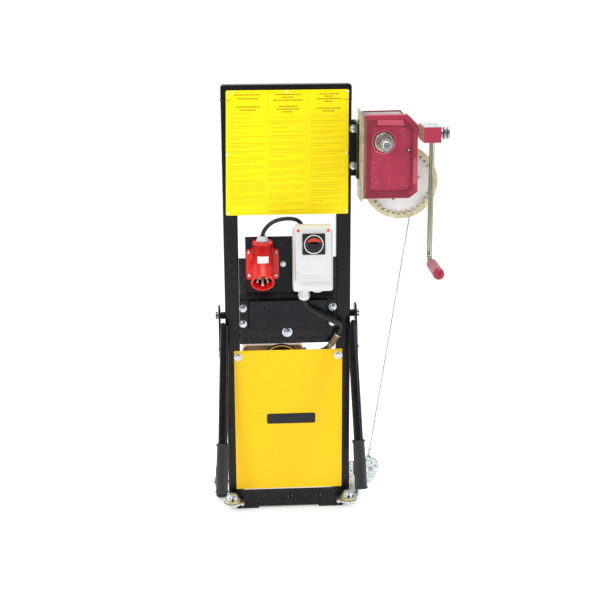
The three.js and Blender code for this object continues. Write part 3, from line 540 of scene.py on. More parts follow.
def words(pc, u0, u1, v, h, gap=1.6, lo=3.0, hi=11.0):
    """A row of short bars, in place of words."""
    x0, z = px2plate(u0, v); x1, _ = px2plate(u1, v)
    x = x0
    while x < x1 - 1.5:
        wd = min(random.uniform(lo, hi), x1 - x)
        pc.box(x, x + wd, Y_INK, -2.28, z - h / 2, z + h / 2)
        x += wd + gap


# border dashes and dividers
for u0, v0, u1, v1 in ((0.018, 0.018, 0.982, 0.018), (0.018, 0.985, 0.982, 0.985)):
    k = 62
    for i in range(k):
        bar(ink2, u0 + (u1 - u0) * i / k, u0 + (u1 - u0) * (i + 0.55) / k, v0, 1.1)
for u in (0.018, 0.982):
    for i in range(62):
        x, z1 = px2plate(u, 0.018 + 0.967 * i / 62)
        ink2.box(x - 0.55, x + 0.55, Y_INK, -2.28, z1 - 3.0, z1)
for u in (0.338, 0.666):
    for i in range(80):
        x, z1 = px2plate(u, 0.022 + 0.955 * i / 80)
        ink2.box(x - 0.4, x + 0.4, Y_INK, -2.28, z1 - 3.1, z1)
cols = [
    (0.03, 0.325, [(0.07, 0.28, 0.036), (0.095, 0.26, 0.066), (0.08, 0.28, 0.130), (0.11, 0.245, 0.155)],
     [0.182, 0.216, 0.249, 0.283, 0.301, 0.334, 0.366, 0.383, 0.418, 0.432, 0.449, 0.482, 0.499, 0.532, 0.549, 0.566, 0.600, 0.616, 0.632, 0.665, 0.682, 0.714, 0.730, 0.747, 0.766, 0.782, 0.800, 0.815, 0.843, 0.858, 0.872, 0.892, 0.908]),
    (0.355, 0.652, [(0.40, 0.61, 0.036), (0.455, 0.55, 0.057), (0.385, 0.625, 0.080), (0.43, 0.58, 0.128), (0.41, 0.595, 0.150), (0.46, 0.545, 0.172)],
     [0.212, 0.245, 0.262, 0.295, 0.329, 0.361, 0.378, 0.411, 0.427, 0.461, 0.478, 0.495, 0.525, 0.560, 0.577, 0.593, 0.610, 0.644, 0.661, 0.678, 0.708, 0.724, 0.757, 0.773, 0.790, 0.823, 0.840, 0.857, 0.874, 0.902, 0.918, 0.935, 0.962, 0.972]),
    (0.69, 0.97, [(0.76, 0.92, 0.034), (0.80, 0.87, 0.052), (0.74, 0.935, 0.072), (0.80, 0.865, 0.092), (0.735, 0.94, 0.147), (0.79, 0.885, 0.168)],
     [0.210, 0.243, 0.260, 0.294, 0.327, 0.343, 0.375, 0.391, 0.425, 0.442, 0.477, 0.493, 0.510, 0.543, 0.560, 0.592, 0.608, 0.625, 0.643, 0.673, 0.690, 0.707, 0.741, 0.757, 0.774, 0.805, 0.822, 0.838, 0.870, 0.888, 0.918, 0.935, 0.967]),
]
for u0, u1, heads, rows in cols:
    for a, b, v in heads:
        words(ink, a, b, v, 2.9, 1.3, 4.0, 12.0)
    for i, v in enumerate(rows):
        nxt = rows[i + 1] if i + 1 < len(rows) else v + 0.03
        end = u1 - random.uniform(0.0, 0.03) if nxt - v < 0.02 else u0 + (u1 - u0) * random.uniform(0.3, 0.9)
        words(ink2, u0, end, v, 1.5, 1.2, 2.5, 9.0)
ink.make("plate_heading_marks", "ink", "frame", 0, weld=0)
ink2.make("plate_text_marks", "ink2", "frame", 0, weld=0)
rv = Piece()
for x, z in ((-142.5, 1202.5), (0, 1202.5), (164.5, 1202), (-161, 1037), (163.2, 1037.3), (-160.5, 876.5), (163, 877.5)):
    rv.lathe([(0, 0), (3.3, 0), (3.2, 0.7), (2.2, 1.7), (0.9, 2.1), (0, 2.15)], (x, -2.2, z), (0, -1, 0), 20)
rv.make("plate_rivets", "white_metal", "frame")

# ------------------------------------------------------------------ lower cover: a pressed sheet, slightly drawn at its edges
cv = Piece()
NX, NZ = 30, 40
x0, x1, z0, z1 = -152.5, 152.5, 61.2, 482.0
vs, fs = [], []


def bulge(u, v):
    s = math.sin(math.pi * u) * math.sin(math.pi * v)
    return 0.9 * s + 0.5 * math.sin(2.2 * math.pi * u + 0.6) * math.sin(1.3 * math.pi * v) * min(1, 6 * u * (1 - u)) * min(1, 6 * v * (1 - v)) + 0.8 * math.exp(-((u - 0.9) / 0.035) ** 2) * math.sin(math.pi * v) ** 2


for side, yo in ((0, -2.3), (1, -0.4)):
    for i in range(NX + 1):
        for j in range(NZ + 1):
            u, v = i / NX, j / NZ
            vs.append((x0 + (x1 - x0) * u, yo - (bulge(u, v) if side == 0 else min(0.9, bulge(u, v) * 0.8)), z0 + (z1 - z0) * v))
S = (NX + 1) * (NZ + 1)
idx = lambda s, i, j: s * S + i * (NZ + 1) + j
for i in range(NX):
    for j in range(NZ):
        fs.append((idx(0, i, j), idx(0, i + 1, j), idx(0, i + 1, j + 1), idx(0, i, j + 1)))
        fs.append((idx(1, i, j), idx(1, i, j + 1), idx(1, i + 1, j + 1), idx(1, i + 1, j)))
for i in range(NX):
    fs.append((idx(0, i, 0), idx(1, i, 0), idx(1, i + 1, 0), idx(0, i + 1, 0)))
    fs.append((idx(0, i, NZ), idx(0, i + 1, NZ), idx(1, i + 1, NZ), idx(1, i, NZ)))
for j in range(NZ):
    fs.append((idx(0, 0, j), idx(0, 0, j + 1), idx(1, 0, j + 1), idx(1, 0, j)))
    fs.append((idx(0, NX, j), idx(1, NX, j), idx(1, NX, j + 1), idx(0, NX, j + 1)))
cv.add(vs, fs)
o = cv.make("lower_cover_sheet", "yellow", "frame", 0, angle=50)
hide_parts("lower_cover")
sc = Piece()
for x, z in ((-140.6, 464.2), (141.2, 463.6)):
    sc.hexhead((x, -2.9, z), (0, -1, 0), 13, 5.5, 12, 1.6, phase=0.3)
sc.make("cover_screws", "zinc", "frame", 0)
# a plain decal: one dark field, in place of any mark
dc = Piece()
dc.prism(rr(-62, 76, 262, 292, 5), "y", -4.15, -3.0)
dc.make("cover_decal", "decal", "frame", 0)

# ------------------------------------------------------------------ cross panel fasteners
b = Piece()
for x, z in ((-125.0, 606.5), (-125.2, 561.5), (125.2, 606.0), (125.4, 561.0)):
    b.hexhead((x, -1.0, z), (0, -1, 0), 16.5, 7.5, 11.2, 2.4, phase=random.uniform(0, 1))
b.hexhead((-2.4, -3.0, 536.2), (0, -1, 0), 17, 7.5, 14.5, 3.0, phase=0.2)
b.cyl((-2.4, -3.2, 536.2), (-2.4, 0.5, 536.2), 6)
b.hexhead((-12, -0.2, 731), (0, -1, 0), 10, 4.5, 8, 1.4, phase=0.5)
b.make("frame_bolts", "bolt", "frame", 0)

# ------------------------------------------------------------------ five-pin inlet
T = math.radians(36)
nrm = Vector((0, -math.cos(T), -math.sin(T)))
mouth = Vector((-71, -70, 695.3))
ux, uz = Vector((1, 0, 0)), Vector((0, -math.sin(T), math.cos(T)))
q = Piece()
q.lathe([(27.6, 0), (29.2, -0.5), (31.1, 0.0), (31.7, 1.0), (31.7, 5.5), (31.0, 6.6), (30.8, 9), (31.0, 60), (27.4, 60), (27.6, 41), (27.6, 0)], mouth, -nrm, 56)
q.lathe([(30.4, 34), (32.6, 35), (32.6, 41.5), (31.4, 43), (31.4, 49), (30.4, 50), (30.4, 34)], mouth, -nrm, 56)
q.lathe([(0, 41), (27.6, 41), (27.6, 60), (0, 60)], mouth, -nrm, 56)
q.make("inlet_shroud", "cee", "frame", 0, angle=30)
q = Piece()
BX = -69
prof = []
R = 29
for i in range(25):
    t = math.pi * i / 24
    prof.append((BX - R * math.cos(t), -25 - R * math.sin(t)))
prof += [(BX + R, -0.6), (BX - R, -0.6)]
q.prism(prof, "z", 722, 794)
top = []
for zz, k in ((794, 1.0), (799, 0.965), (802, 0.88)):
    top.append((zz, k))
vv, ff = [], []
cx, cy = BX, -17
for zz, k in top:
    for pt in prof:
        vv.append((cx + (pt[0] - cx) * k, -0.6 + (pt[1] + 0.6) * (k if k < 1 else 1), zz))
n = len(prof)
for s in range(2):
    for i in range(n):
        j = (i + 1) % n
        ff.append((s * n + i, s * n + j, (s + 1) * n + j, (s + 1) * n + i))
ff.append(list(range(n))[::-1]); ff.append(list(range(2 * n, 3 * n)))
q.add(vv, ff)
q.make("inlet_housing", "cee", "frame", 1.2, angle=40, segs=3)
q = Piece()
q.prism(rr(-114.5, -24, 690, 776, 8), "y", -5.0, -0.3)
q.prism(rr(-109, -29.5, 695, 771, 6), "y", -7.6, -4.8)
for sx, sz in ((-1, -1), (1, -1), (-1, 1), (1, 1)):
    q.lathe([(0, 0), (7.0, 0), (6.5, 3.4), (0, 3.4)], (-69.2 + sx * 36.5, -5.0, 735 + sz * 32.5), (0, -1, 0), 24)
q.make("inlet_flange", "cee", "frame", 0.7, angle=35)
q = Piece()
# rib between body and shroud, key on the shroud's lower lip
q.prism([(-25, 772), (-58, 742), (-62, 730), (-28, 716)], "x", BX - 2.5, BX + 2.5)
kq = mouth - nrm * 2 - uz * 31.5
q.prism([(kq.y - 1.5, kq.z + 3), (kq.y + 14, kq.z + 15), (kq.y + 16, kq.z + 11), (kq.y + 1, kq.z - 2.2)], "x", -75, -67)
q.make("inlet_rib_and_key", "cee", "frame", 0.5)
pin = Piece(); ins = Piece()
ins.lathe([(0, 33), (26.8, 33), (27.3, 33.6), (27.3, 40.8), (0, 40.8)], mouth, -nrm, 48)
for i in range(5):
    a = -math.pi / 2 + i * 2 * math.pi / 5
    off = ux * (14.5 * math.cos(a)) + uz * (14.5 * math.sin(a))
    rp = 3.4 if i == 0 else 2.6
    tip = 4 if i == 0 else 7
    pin.lathe([(0, tip - 0.2), (rp * 0.6, tip), (rp, tip + 2.2), (rp, 34), (0, 34)], mouth + off, -nrm, 20)
    ins.lathe([(rp + 0.2, 31.5), (rp + 2.2, 31.5), (rp + 2.2, 34), (rp + 0.2, 34), (rp + 0.2, 31.5)], mouth + off, -nrm, 20)
o = pin.make("inlet_contacts", "pin", "frame", 0)
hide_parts("inlet_pins")
o = ins.make("inlet_insert", "cee_in", "frame", 0)
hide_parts("inlet_body")
q = Piece()
for sx, sz in ((-1, -1), (1, -1), (-1, 1), (1, 1)):
    c = (-69.2 + sx * 36.5, -8.2, 735 + sz * 32.5)
    q.lathe([(0, 0), (4.6, 0), (4.4, 1.0), (3.2, 2.0), (1.2, 2.4), (0.6, 1.4), (0, 1.4)], c, (0, -1, 0), 20)
q.make("inlet_screws", "zinc", "frame", 0)
q = Piece()
# blank white label wrapped on the body
pts = []
for i in range(13):
    t = math.radians(59 + 62 * i / 12)
    pts.append((BX - 29.25 * math.cos(t), -25 - 29.25 * math.sin(t)))
pts += [(x + (BX - x) * 0.02, y + 0.5) for x, y in reversed(pts)]
q.prism(pts, "z", 747, 766)
q.make("inlet_label", "label", "frame", 0)
q = Piece()
q.lathe([(6.2, 0), (15.8, 0), (16.5, 0.8), (16.5, 4.6), (15.4, 5.6), (15.0, 8), (12.8, 13.8), (12.0, 14.6), (6.2, 14.6), (6.2, 0)], (BX, -25, 802.4), (0, 0, 1), 40)
for i in range(16):
    t = 2 * math.pi * i / 16
    cx_, cy_ = BX + 16.2 * math.cos(t), -25 + 16.2 * math.sin(t)
    q.lathe([(0, 0), (1.0, 0), (1.0, 3.4), (0, 3.8)], (cx_ * 0.9985, cy_, 803.2), (0, 0, 1), 8)
o = q.make("inlet_gland_nut", "grey_darker_and_painted_shade", "frame", 0)
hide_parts("inlet_cap")

# ------------------------------------------------------------------ starter enclosure
q = Piece()
q.prism(rr(13, 122, 664, 835, 7), "y", -46.5, -0.3)
q.prism(rr(14.5, 120.5, 665.5, 833.5, 6), "y", -50, -46.5)
o = q.make("enclosure_back", "grey", "frame", 0.9, angle=40, segs=3)
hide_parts("enclosure_base")
q = Piece()
lid = [(-50.3, 699), (-80, 701), (-92.5, 725), (-95, 728), (-95, 848), (-93.6, 851.6), (-90, 853), (-50.3, 853)]
q.prism(lid, "x", 18, 113)
q.make("enclosure_cover", "grey", "frame", 2.0, angle=24, segs=4)
q = Piece()
# raised upper field of the cover, slot band and seal line
q.prism(rr(21, 110, 774, 849.5, 3), "y", -96.4, -94.6)
q.prism(rr(26, 105, 733, 768, 2.5), "y", -95.9, -94.6)
q.prism(rr(16.4, 118.6, 695.6, 698.4, 1.2), "y", -52.2, -50)
o = q.make("enclosure_fields", "grey", "frame", 0.5)
# painted shadow lines in the darker grey: along the upper field's lower edge, at the lid's back edge and over the
# switch plate; and a small round mark
q = Piece()
q.prism(rr(20, 111, 771.6, 772.6, 0.4), "y", -95.3, -94.8)
q.prism([(-50.5, 698.0), (-50.5, 853.4), (-49.6, 853.4), (-49.6, 698.0)], "x", 17.6, 113.4)
q.prism(rr(32.5, 98.5, 838.2, 848.2, 2), "y", -96.9, -96.3)
q.lathe([(0, 0), (3.2, 0), (3.0, 1.4), (1.2, 1.5), (1.0, 0.7), (0, 0.7)], (22.5, -94.9, 731), (0, -1, 0), 20)
q.make("enclosure_shadow_lines", "grey_darker_and_painted_shade", "frame", 0)
# a strip of painted shade in the darker grey on the lid's lower sloped face
q = Piece()
q.prism([(-80.6, 700.6), (-93.0, 724.4), (-92.2, 725.0), (-79.6, 701.4)], "x", 18.6, 112.4)
q.make("enclosure_lower_face_painted_shade", "grey_darker_and_painted_shade", "frame", 0)
q = Piece()
for x, z in ((24.5, 845.3), (104.6, 845.0)):
    q.lathe([(0, 0), (4.3, 0), (4.3, 1.2), (3.4, 1.9), (0, 1.9)], (x, -96.2, z), (0, -1, 0), 24)
q.make("enclosure_seals", "plas_red", "frame", 0)
q = Piece()
q.prism(rr(35, 96, 779.5, 837, 2.5), "y", -99.0, -96.2)
o = q.make("switch_escutcheon", "plas_black", "frame", 0.4)
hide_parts("enclosure_lid")
KX, KZ = 65.5, 808
q = Piece()
q.lathe([(23.6, 0), (26.2, 0), (26.2, 1.0), (23.6, 1.0), (23.6, 0)], (KX, -98.9, KZ), (0, -1, 0), 64)
q.make("switch_ring", "label", "frame", 0)
q = Piece()
q.lathe([(0, 0), (22.2, 0), (22.2, 2.5), (20.6, 4.2), (20.2, 11), (18.6, 12.6), (0, 12.9)], (KX, -98.9, KZ), (0, -1, 0), 56)
hb = [(KX - 19.5, KZ - 5.5), (KX - 17, KZ - 8), (KX + 17, KZ - 8), (KX + 19.5, KZ - 5.5), (KX + 19.5, KZ + 3), (KX + 17, KZ + 5.5), (KX - 17, KZ + 5.5), (KX - 19.5, KZ + 3)]
q.prism(hb, "y", -122, -110)
o = q.make("switch_knob_body", "plas_black", "switch", 0.9, angle=40, segs=3)
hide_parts("switch_knob")
q = Piece()
arc_o, arc_i = [], []
for i in range(15):
    t = math.radians(32 + 116 * i / 14)
    arc_o.append((KX + 21.5 * math.cos(t), KZ + 19.5 * math.sin(t)))
    arc_i.append((KX + 14 * math.cos(t) * 1.28, KZ + 9 * math.sin(t) + 1.8))
q.prism(arc_o + arc_i[::-1], "y", -113.2, -110.5)
q.make("switch_pointer", "plas_red", "switch", 0.4)
# blanking plug and cable gland under the box
q = Piece()
q.lathe([(0, 0), (12.5, 0), (13.5, 1.2), (13.5, 8), (0, 8)], (80.5, -27, 658.0), (0, 0, 1), 40)
q.lathe([(0, 0), (15.5, 0), (16.5, 1), (16.5, 4), (0, 4)], (80.5, -36, 667.0), (0, -0.35, 1), 40)
q.make("blanking_plug", "grey", "frame", 0.6)
q = Piece()
q.lathe([(7.2, 0), (9.6, 0), (12.6, 2.0), (14.2, 6), (14.6, 13), (7.2, 13), (7.2, 0)], (43.5, -27, 635), (0, 0, 1), 40)
q.lathe([(0, 0), (16.5, 0), (17.2, 1), (17.2, 4), (0, 4)], (43.5, -36, 668.0), (0, -0.35, 1), 40)
for i in range(14):
    t = 2 * math.pi * i / 14
    q.lathe([(0, 0), (1.3, 0.3), (1.3, 6.5), (0, 7)], (43.5 + 14.2 * math.cos(t), -27 + 14.2 * math.sin(t), 640.5), (0, 0, 1), 8)
hx = [(43.5 + 16 * math.cos(math.pi / 3 * i + 0.2), -27 + 16 * math.sin(math.pi / 3 * i + 0.2)) for i in range(6)]
q.prism(hx, "z", 648.3, 659.5)
q.lathe([(7.2, 0), (17.2, 0), (17.2, 1.4), (7.2, 1.4), (7.2, 0)], (43.5, -27, 648.2), (0, 0, 1), 40)
o = q.make("gland_nut", "grey", "frame", 0.6, angle=40)
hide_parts("cable_gland")

# ------------------------------------------------------------------ leads held at both ends
SUPPLY = [(-69, -25, 806), (-69, -25, 812), (-68.2, -25, 820), (-64.5, -25.5, 830.5), (-57.5, -26, 840.5), (-47, -26.5, 850.5), (-32, -27.5, 858.8), (-9, -28.5, 864), (12, -28.5, 863.6), (27, -27.5, 858.6), (36.5, -26.5, 849), (40, -26, 839), (40, -26, 828)]
q = Piece(); q.tube(SUPPLY, 5.5, 20, step=3.0)
o = q.make("supply_lead", "cable", "frame", 0)
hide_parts("cable_supply")
LEAD = [(43.5, -27, 668), (43.5, -27, 652), (43.5, -27, 636), (46.5, -28, 624), (59, -30, 611), (86, -34, 595), (120, -36, 577), (142, -33, 564), (148.5, -28, 551), (139, -23, 535), (130, -16, 516), (122, -8, 499), (115, 4, 488), (107, 16, 477), (94, 40, 463), (76, 66, 452), (56.5, 88, 446)]
q = Piece(); q.tube(LEAD, 7.1, 20, step=3.0)
o = q.make("motor_lead", "cable", "frame", 0)
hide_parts("cable_motor")
q = Piece()
q.tube([(137.5, -22.2, 531.5), (130, -16, 516), (122, -8, 499), (116.5, 1.5, 489.5)], 8.5, 22, step=3.0)
q.make("lead_sleeve", "sleeve", "frame", 0.5, angle=60)
q = Piece()
d = (Vector((130, -16, 516)) - Vector((137.5, -22.2, 531.5))).normalized()
q.lathe([(7.1, 0), (9.8, 0), (9.8, 2.6), (7.1, 2.6), (7.1, 0)], Vector((138.2, -22.8, 533)), d, 28)
q.lathe([(7.1, 0), (9.9, 0), (9.9, 1.8), (7.1, 1.8), (7.1, 0)], Vector((122.6, -8.6, 500.5)), (-0.55, 0.65, -0.6), 28)
q.make("lead_clips", "zinc", "frame", 0)

# ------------------------------------------------------------------ winch
upgrade("winch_side_plate", "zinc", 0.5, 28)
upgrade("winch_mid_plate", "zinc", 0.5, 28)
# the rear plate in the darker red, as painted shade behind the cover
upgrade("winch_rear_plate", "red_painted_shade", 0.5, 28)
upgrade("winch_cover", "red", 1.6, 24, 3)
upgrade("crank_peg", "zinc", 0.6, 28)
q = Piece()
# raised tabs, ribs and plain embossing on the cover, in the lighter red as a painted highlight
q.prism([(232, 1123.5), (302, 1122.5), (300, 1137), (232, 1137.6)], "y", -101.4, -95)
q.prism([(327.6, 968), (340.4, 969), (339.6, 1038), (327.6, 1038)], "y", -101.6, -97)
q.prism(circ(250, 1079, 32, 40), "y", -98.2, -95.6, holes=[circ(250, 1079, 27.5, 40)])
q.make("winch_cover_tabs", "red_painted_highlight", "frame", 0.7)
# the cover's chamfered rim in the darker red, as painted shade
q = Piece()
q.prism([(204.5, 939.5), (314.5, 939.5), (329.5, 951.5), (328, 1117.5), (306.5, 1138.5), (204.5, 1137.5)], "y", -99.4, -95.9,
        holes=[[(215, 949), (310, 949), (321.5, 958), (320, 1107), (299.5, 1120), (215, 1120)]])
q.make("winch_cover_rim", "red_painted_shade", "frame", 0.8, angle=40)
# a band of painted shade along the cover's lower, down-facing edge
q = Piece()
q.prism([(204, 931), (318, 931.4), (329, 939), (204, 938.6)], "y", -100.7, -99.9)
q.make("winch_cover_shade", "red_painted_shade", "frame", 0.2)
q = Piece()
q.prism(rr(194.2, 202.6, 931.5, 1147, 1.5), "y", -100.9, -99.9)
q.make("winch_cover_strip", "strip", "frame", 0.3)
q = Piece()
q.prism([(193.9, 933), (313, 934), (331.8, 949), (328, 1118.5), (303.7, 1147), (193.9, 1146)], "y", -9.3, -8.15, holes=[circ(300.4, 966.3, 10.8, 40)])
q.make("winch_rear_sheet", "white_metal", "frame", 0.3)
# embossed marks on the cover, in the lighter red as a painted highlight
q = Piece()
for x0_, x1_, z0_, z1_ in ((216, 241, 953, 1036), ):
    w_ = 1.1
    for a in ((x0_, x1_, z0_, z0_ + w_), (x0_, x1_, z1_ - w_, z1_), (x0_, x0_ + w_, z0_, z1_), (x1_ - w_, x1_, z0_, z1_)):
        q.box(a[0], a[1], -97.0, -95.8, a[2], a[3])
rnd = random.Random(3)
for bx, bz, bw, bh, kx, kz in ((219, 958, 19, 73, 3, 9), (256, 1010, 14, 24, 2, 3), (262, 962, 9, 34, 1, 5), (294, 1086, 12, 30, 2, 4), (296, 1016, 12, 22, 2, 3), (297, 962, 10, 28, 2, 4)):
    for i in range(kx):
        for j in range(kz):
            if rnd.random() < 0.8:
                w1 = bw / kx * rnd.uniform(0.25, 0.7); h1 = bh / kz * rnd.uniform(0.3, 0.75)
                xx = bx + bw * (i + 0.15) / kx; zz = bz + bh * (j + 0.12) / kz
                q.box(xx, xx + w1, -96.8, -95.8, zz, zz + h1)
q.make("winch_cover_marks", "red_painted_highlight", "frame", 0.2, weld=0)
q = Piece()
q.lathe([(0, 0), (4.8, 0.4), (4.8, 2.5), (3.6, 4.6), (1.8, 5.6), (0, 5.9)], (317, -92.5, 1057), (0, -1, 0), 24)
q.make("winch_detent_ball", "steel", "frame", 0)
# bearing ring behind the drive hole
q = Piece()
q.lathe([(20.4, 0), (27.2, 0), (27.2, 3), (24, 4.4), (20.4, 4.4), (20.4, 0)], (250, -90.5, 1079), (0, -1, 0), 48)
q.make("winch_bearing_ring", "steel_dark", "frame", 0)
# input shaft: collar, square drive end, stepped nut
q = Piece()
q.lathe([(0, 0), (20, 0), (20, 9.6), (18.6, 11.7), (0, 11.7)], (250, -88.5, 1079), (0, -1, 0), 48)
q.lathe([(19.4, 0), (24.4, 0), (24.9, 0.8), (24.9, 3.4), (24, 4.4), (19.4, 4.4), (19.4, 0)], (250, -98.6, 1079), (0, -1, 0), 56)
s2 = math.sqrt(0.5)
d_ = [(16.8, 13.9), (13.9, 16.8), (-13.9, 16.8), (-16.8, 13.9), (-16.8, -13.9), (-13.9, -16.8), (13.9, -16.8), (16.8, -13.9)]
q.prism([(250 + (a - b_) * s2, 1079 + (a + b_) * s2) for a, b_ in d_], "y", -147.6, -99)
o = q.make("input_drive_end", "gold", "input_shaft", 0.9, angle=30, segs=3)
q = Piece()
q.lathe([(0, 0), (13.6, 0), (14, 0.6), (14, 2.6), (13, 3.4), (0, 3.4)], (250, -147.4, 1079), (0, -1, 0), 48)
q.lathe([(0, 0), (9.8, 0), (10.4, 1), (10.4, 6.8), (9.2, 8.4), (5.4, 8.6), (5.2, 7.2), (3.8, 7.2), (3.6, 8.9), (0, 9.2)], (250, -150.6, 1079), (0, -1, 0), 40)
q.make("input_nut", "white_metal", "input_shaft", 0)
# gears: kept from the solids, hidden inside
for n in ("mid_gear",):
    upgrade(n, "steel", 0.25, 30, 1)
src = upgrade("input_shaft", "steel", 0.25, 30, 1)
# drum: flange with toothed ring, dished inside, riveted
DX, DZ = 300.4, 966.3
ring_z, ring_R = 35, 84.0


def toothed(cx_, cz_, z_, root, tip, ph, wr, wt):
    P_ = []
    pit = 2 * math.pi / z_
    for i in range(z_):
        a = ph + i * pit
        P_ += [(cx_ + root * math.cos(a - wr * pit / 2), cz_ + root * math.sin(a - wr * pit / 2)), (cx_ + tip * math.cos(a - wt * pit / 2), cz_ + tip * math.sin(a - wt * pit / 2)),
               (cx_ + tip * math.cos(a + wt * pit / 2), cz_ + tip * math.sin(a + wt * pit / 2)), (cx_ + root * math.cos(a + wr * pit / 2), cz_ + root * math.sin(a + wr * pit / 2))]
    return P_


ph = math.atan2(1021.2 - DZ, 276.1 - DX)
q = Piece()
q.prism(circ(DX, DZ, 99.8, 120), "y", -63, -53.6, holes=[toothed(DX, DZ, ring_z, ring_R - 3.6, ring_R + 3.8, ph, 0.62, 0.5)])
q.make("drum_ring", "gold", "drum", 0.6, angle=32)
q = Piece()
q.lathe([(10.3, 0), (99.6, 0), (100.4, 0.8), (100.4, 2.0), (99.6, 2.8), (10.3, 2.8), (10.3, 0)], (DX, -53.4, DZ), (0, 1, 0), 120)
q.lathe([(10.3, 0), (17, 0), (18, 1), (18, 5), (21, 8), (34, 9.4), (36, 9.4), (36, 36), (10.3, 36), (10.3, 0)], (DX, -60.5, DZ), (0, 1, 0), 64)
q.lathe([(10.3, 0), (71, 0), (72, 1), (72, 3), (71, 4), (10.3, 4), (10.3, 0)], (DX, -15, DZ), (0, 1, 0), 96)
q.lathe([(10.3, 0), (36, 0), (36, 14), (10.3, 14), (10.3, 0)], (DX, -27, DZ), (0, 1, 0), 64)
o = q.make("drum_body", "white_metal", "drum", 0.4, angle=32)
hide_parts("drum")
q = Piece()
for i in range(6):
    t = ph + 0.3 + i * math.pi / 3
    q.lathe([(0, 0), (4.2, 0), (3.8, 1.6), (1.8, 2.4), (0, 2.5)], (DX + 52 * math.cos(t), -53.3, DZ + 52 * math.sin(t)), (0, -1, 0), 20)
q.make("drum_rivets", "zinc", "drum", 0)
# wire rope turns on the drum
q = Piece()
hel = []
turns = 7.6
for i in range(int(turns * 40) + 1):
    t = 2 * math.pi * i / 40
    hel.append((DX + 41.0 * math.cos(t), -48.4 + 4.0 * t / (2 * math.pi) * 1.03, DZ + 41.0 * math.sin(t)))
q.tube(hel, 2.0, 8, step=6.0)
o = q.make("rope_turns", "rope", "drum", 0)
q = Piece()
q.lathe([(36.2, 0), (40.4, 0), (40.4, 34), (36.2, 34), (36.2, 0)], (DX, -50.2, DZ), (0, 1, 0), 64)
o2 = q.make("rope_under_layer", "steel_dark", "drum", 0)
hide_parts("rope_wraps")
# straight run: six strands laid round each other
TOP, BOT = Vector((344.9, -34.3, 959.9)), Vector((229.8, -11.5, 157.2))
q = Piece()
ax = (BOT - TOP); LN = ax.length; ax.normalize()
a1 = ax.orthogonal().normalized(); b1 = ax.cross(a1)
for s in range(6):
    pts = []
    for i in range(int(LN / 3.0) + 1):
        t = i * 3.0
        an = 2 * math.pi * (t / 27.0) + s * math.pi / 3
        pts.append(TOP + ax * min(t, LN) + (a1 * math.cos(an) + b1 * math.sin(an)) * 1.25)
    q.tube(pts, 0.74, 6, smooth=False)
o = q.make("rope_run", "rope", "frame", 0)
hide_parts("rope_line")

# bracket bolts
q = Piece()
for z in (1103, 1003):
    q.hexhead((180.2, -6.4, z), (0, -1, 0), 17, 8.5, 11.5, 2.2, phase=0.4, stud=5, stud_h=4)
    q.hexhead((180.2, 36.5, z), (0, 1, 0), 17, 8.0, 11, 2.0, phase=0.1, stud=5, stud_h=5)
    q.cyl((180.2, -7, z), (180.2, 37, z), 4.1)
    q.hexhead((193.4, -30, z), (1, 0, 0), 13, 5.5, 10, 1.6)
q.make("bracket_bolts", "zinc", "frame", 0)
# side plate edges, folded zinc flange and yellow passivated strip
q = Piece()
q.box(190.4, 196.6, -103.5, -101.2, 926, 1152)
q.box(193.4, 196.8, -71.0, -60.0, 934, 1144)
q.make("side_plate_flange", "zinc", "frame", 0.5)
q = Piece()
q.box(188.2, 190.2, -100, -66, 932, 1146)
q.make("side_plate_strip", "gold", "frame", 0.4)

# ------------------------------------------------------------------ crank
CX, CZ = 365.7, 1106
q = Piece()
q.box(CX - 23, CX + 23, -172, -83, CZ - 20, CZ + 20)
o = q.make("crank_hub_block", "red", "crank", 1.8, angle=40, segs=3)
t_ = Piece()
t_.box(CX - 21, CX + 21, -170, -85, CZ + 19.4, CZ + 20.4)
t_.make("crank_hub_top", "galv", "crank", 0.4)
t_ = Piece()
t_.box(CX - 23.5, CX - 22.4, -170, -85, CZ - 18, CZ + 18)
t_.make("crank_hub_side", "gold", "crank", 0.4)
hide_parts("crank_hub")
RX, RY, RB = 370.6, -136, 768
q = Piece()
q.tube([(RX, RY, 1085.6), (RX, RY, 1000), (RX, RY, 900), (RX, RY, 820), (RX, RY, RB + 22), (RX, RY - 2.5, RB + 10), (RX, RY - 10, RB + 2.5), (RX, RY - 22, RB), (RX, RY - 36, RB)], 7.0, 28, step=4)
q.lathe([(0, 0), (8.6, 0), (8.6, 2.2), (7.2, 3.0), (0, 3.0)], (RX, RY, 1085.4), (0, 0, -1), 32)
o = q.make("crank_arm", "rod", "crank", 0)
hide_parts("crank_rod")
q = Piece()
q.lathe([(5.3, 0), (10.6, 0), (12.6, 1.2), (13.4, 4), (13.8, 10), (13.4, 30), (13.8, 60), (14.2, 90), (14.9, 105), (15.0, 111), (14.2, 117.5), (12.2, 122.4), (8.6, 126), (4.4, 127.4), (0, 127.7)], (RX, RY - 35, RB), (0, -1, 0), 44)
for i in range(14):
    t = 2 * math.pi * i / 14
    c_, s_ = math.cos(t), math.sin(t)
    q.tube([(RX + 12.9 * c_, RY - 43, RB + 12.9 * s_), (RX + 13.1 * c_, RY - 75, RB + 13.1 * s_), (RX + 13.3 * c_, RY - 110, RB + 13.3 * s_), (RX + 13.6 * c_, RY - 134, RB + 13.6 * s_)], 1.4, 8, step=8)
o = q.make("crank_grip_moulding", "grip_red", "crank_grip", 0)
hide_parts("crank_grip")
q = Piece()
q.lathe([(0, 0), (5, 0), (5, 9.3), (8.6, 10), (9, 10.6), (9, 14.2), (15.6, 15.3), (16.5, 16.2), (16.5, 19.3), (15.6, 20.2), (9, 21.6), (9, 23.6), (14.6, 25.0), (15.5, 26), (15.5, 29), (13.4, 31), (5, 31.4), (4.4, 30.4), (0, 30.2)], (CX + 17.3, -136, CZ), (1, 0, 0), 44)
o = q.make("crank_clamp_knob", "steel", "crank_clamp", 0)
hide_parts("crank_clamp_screw")

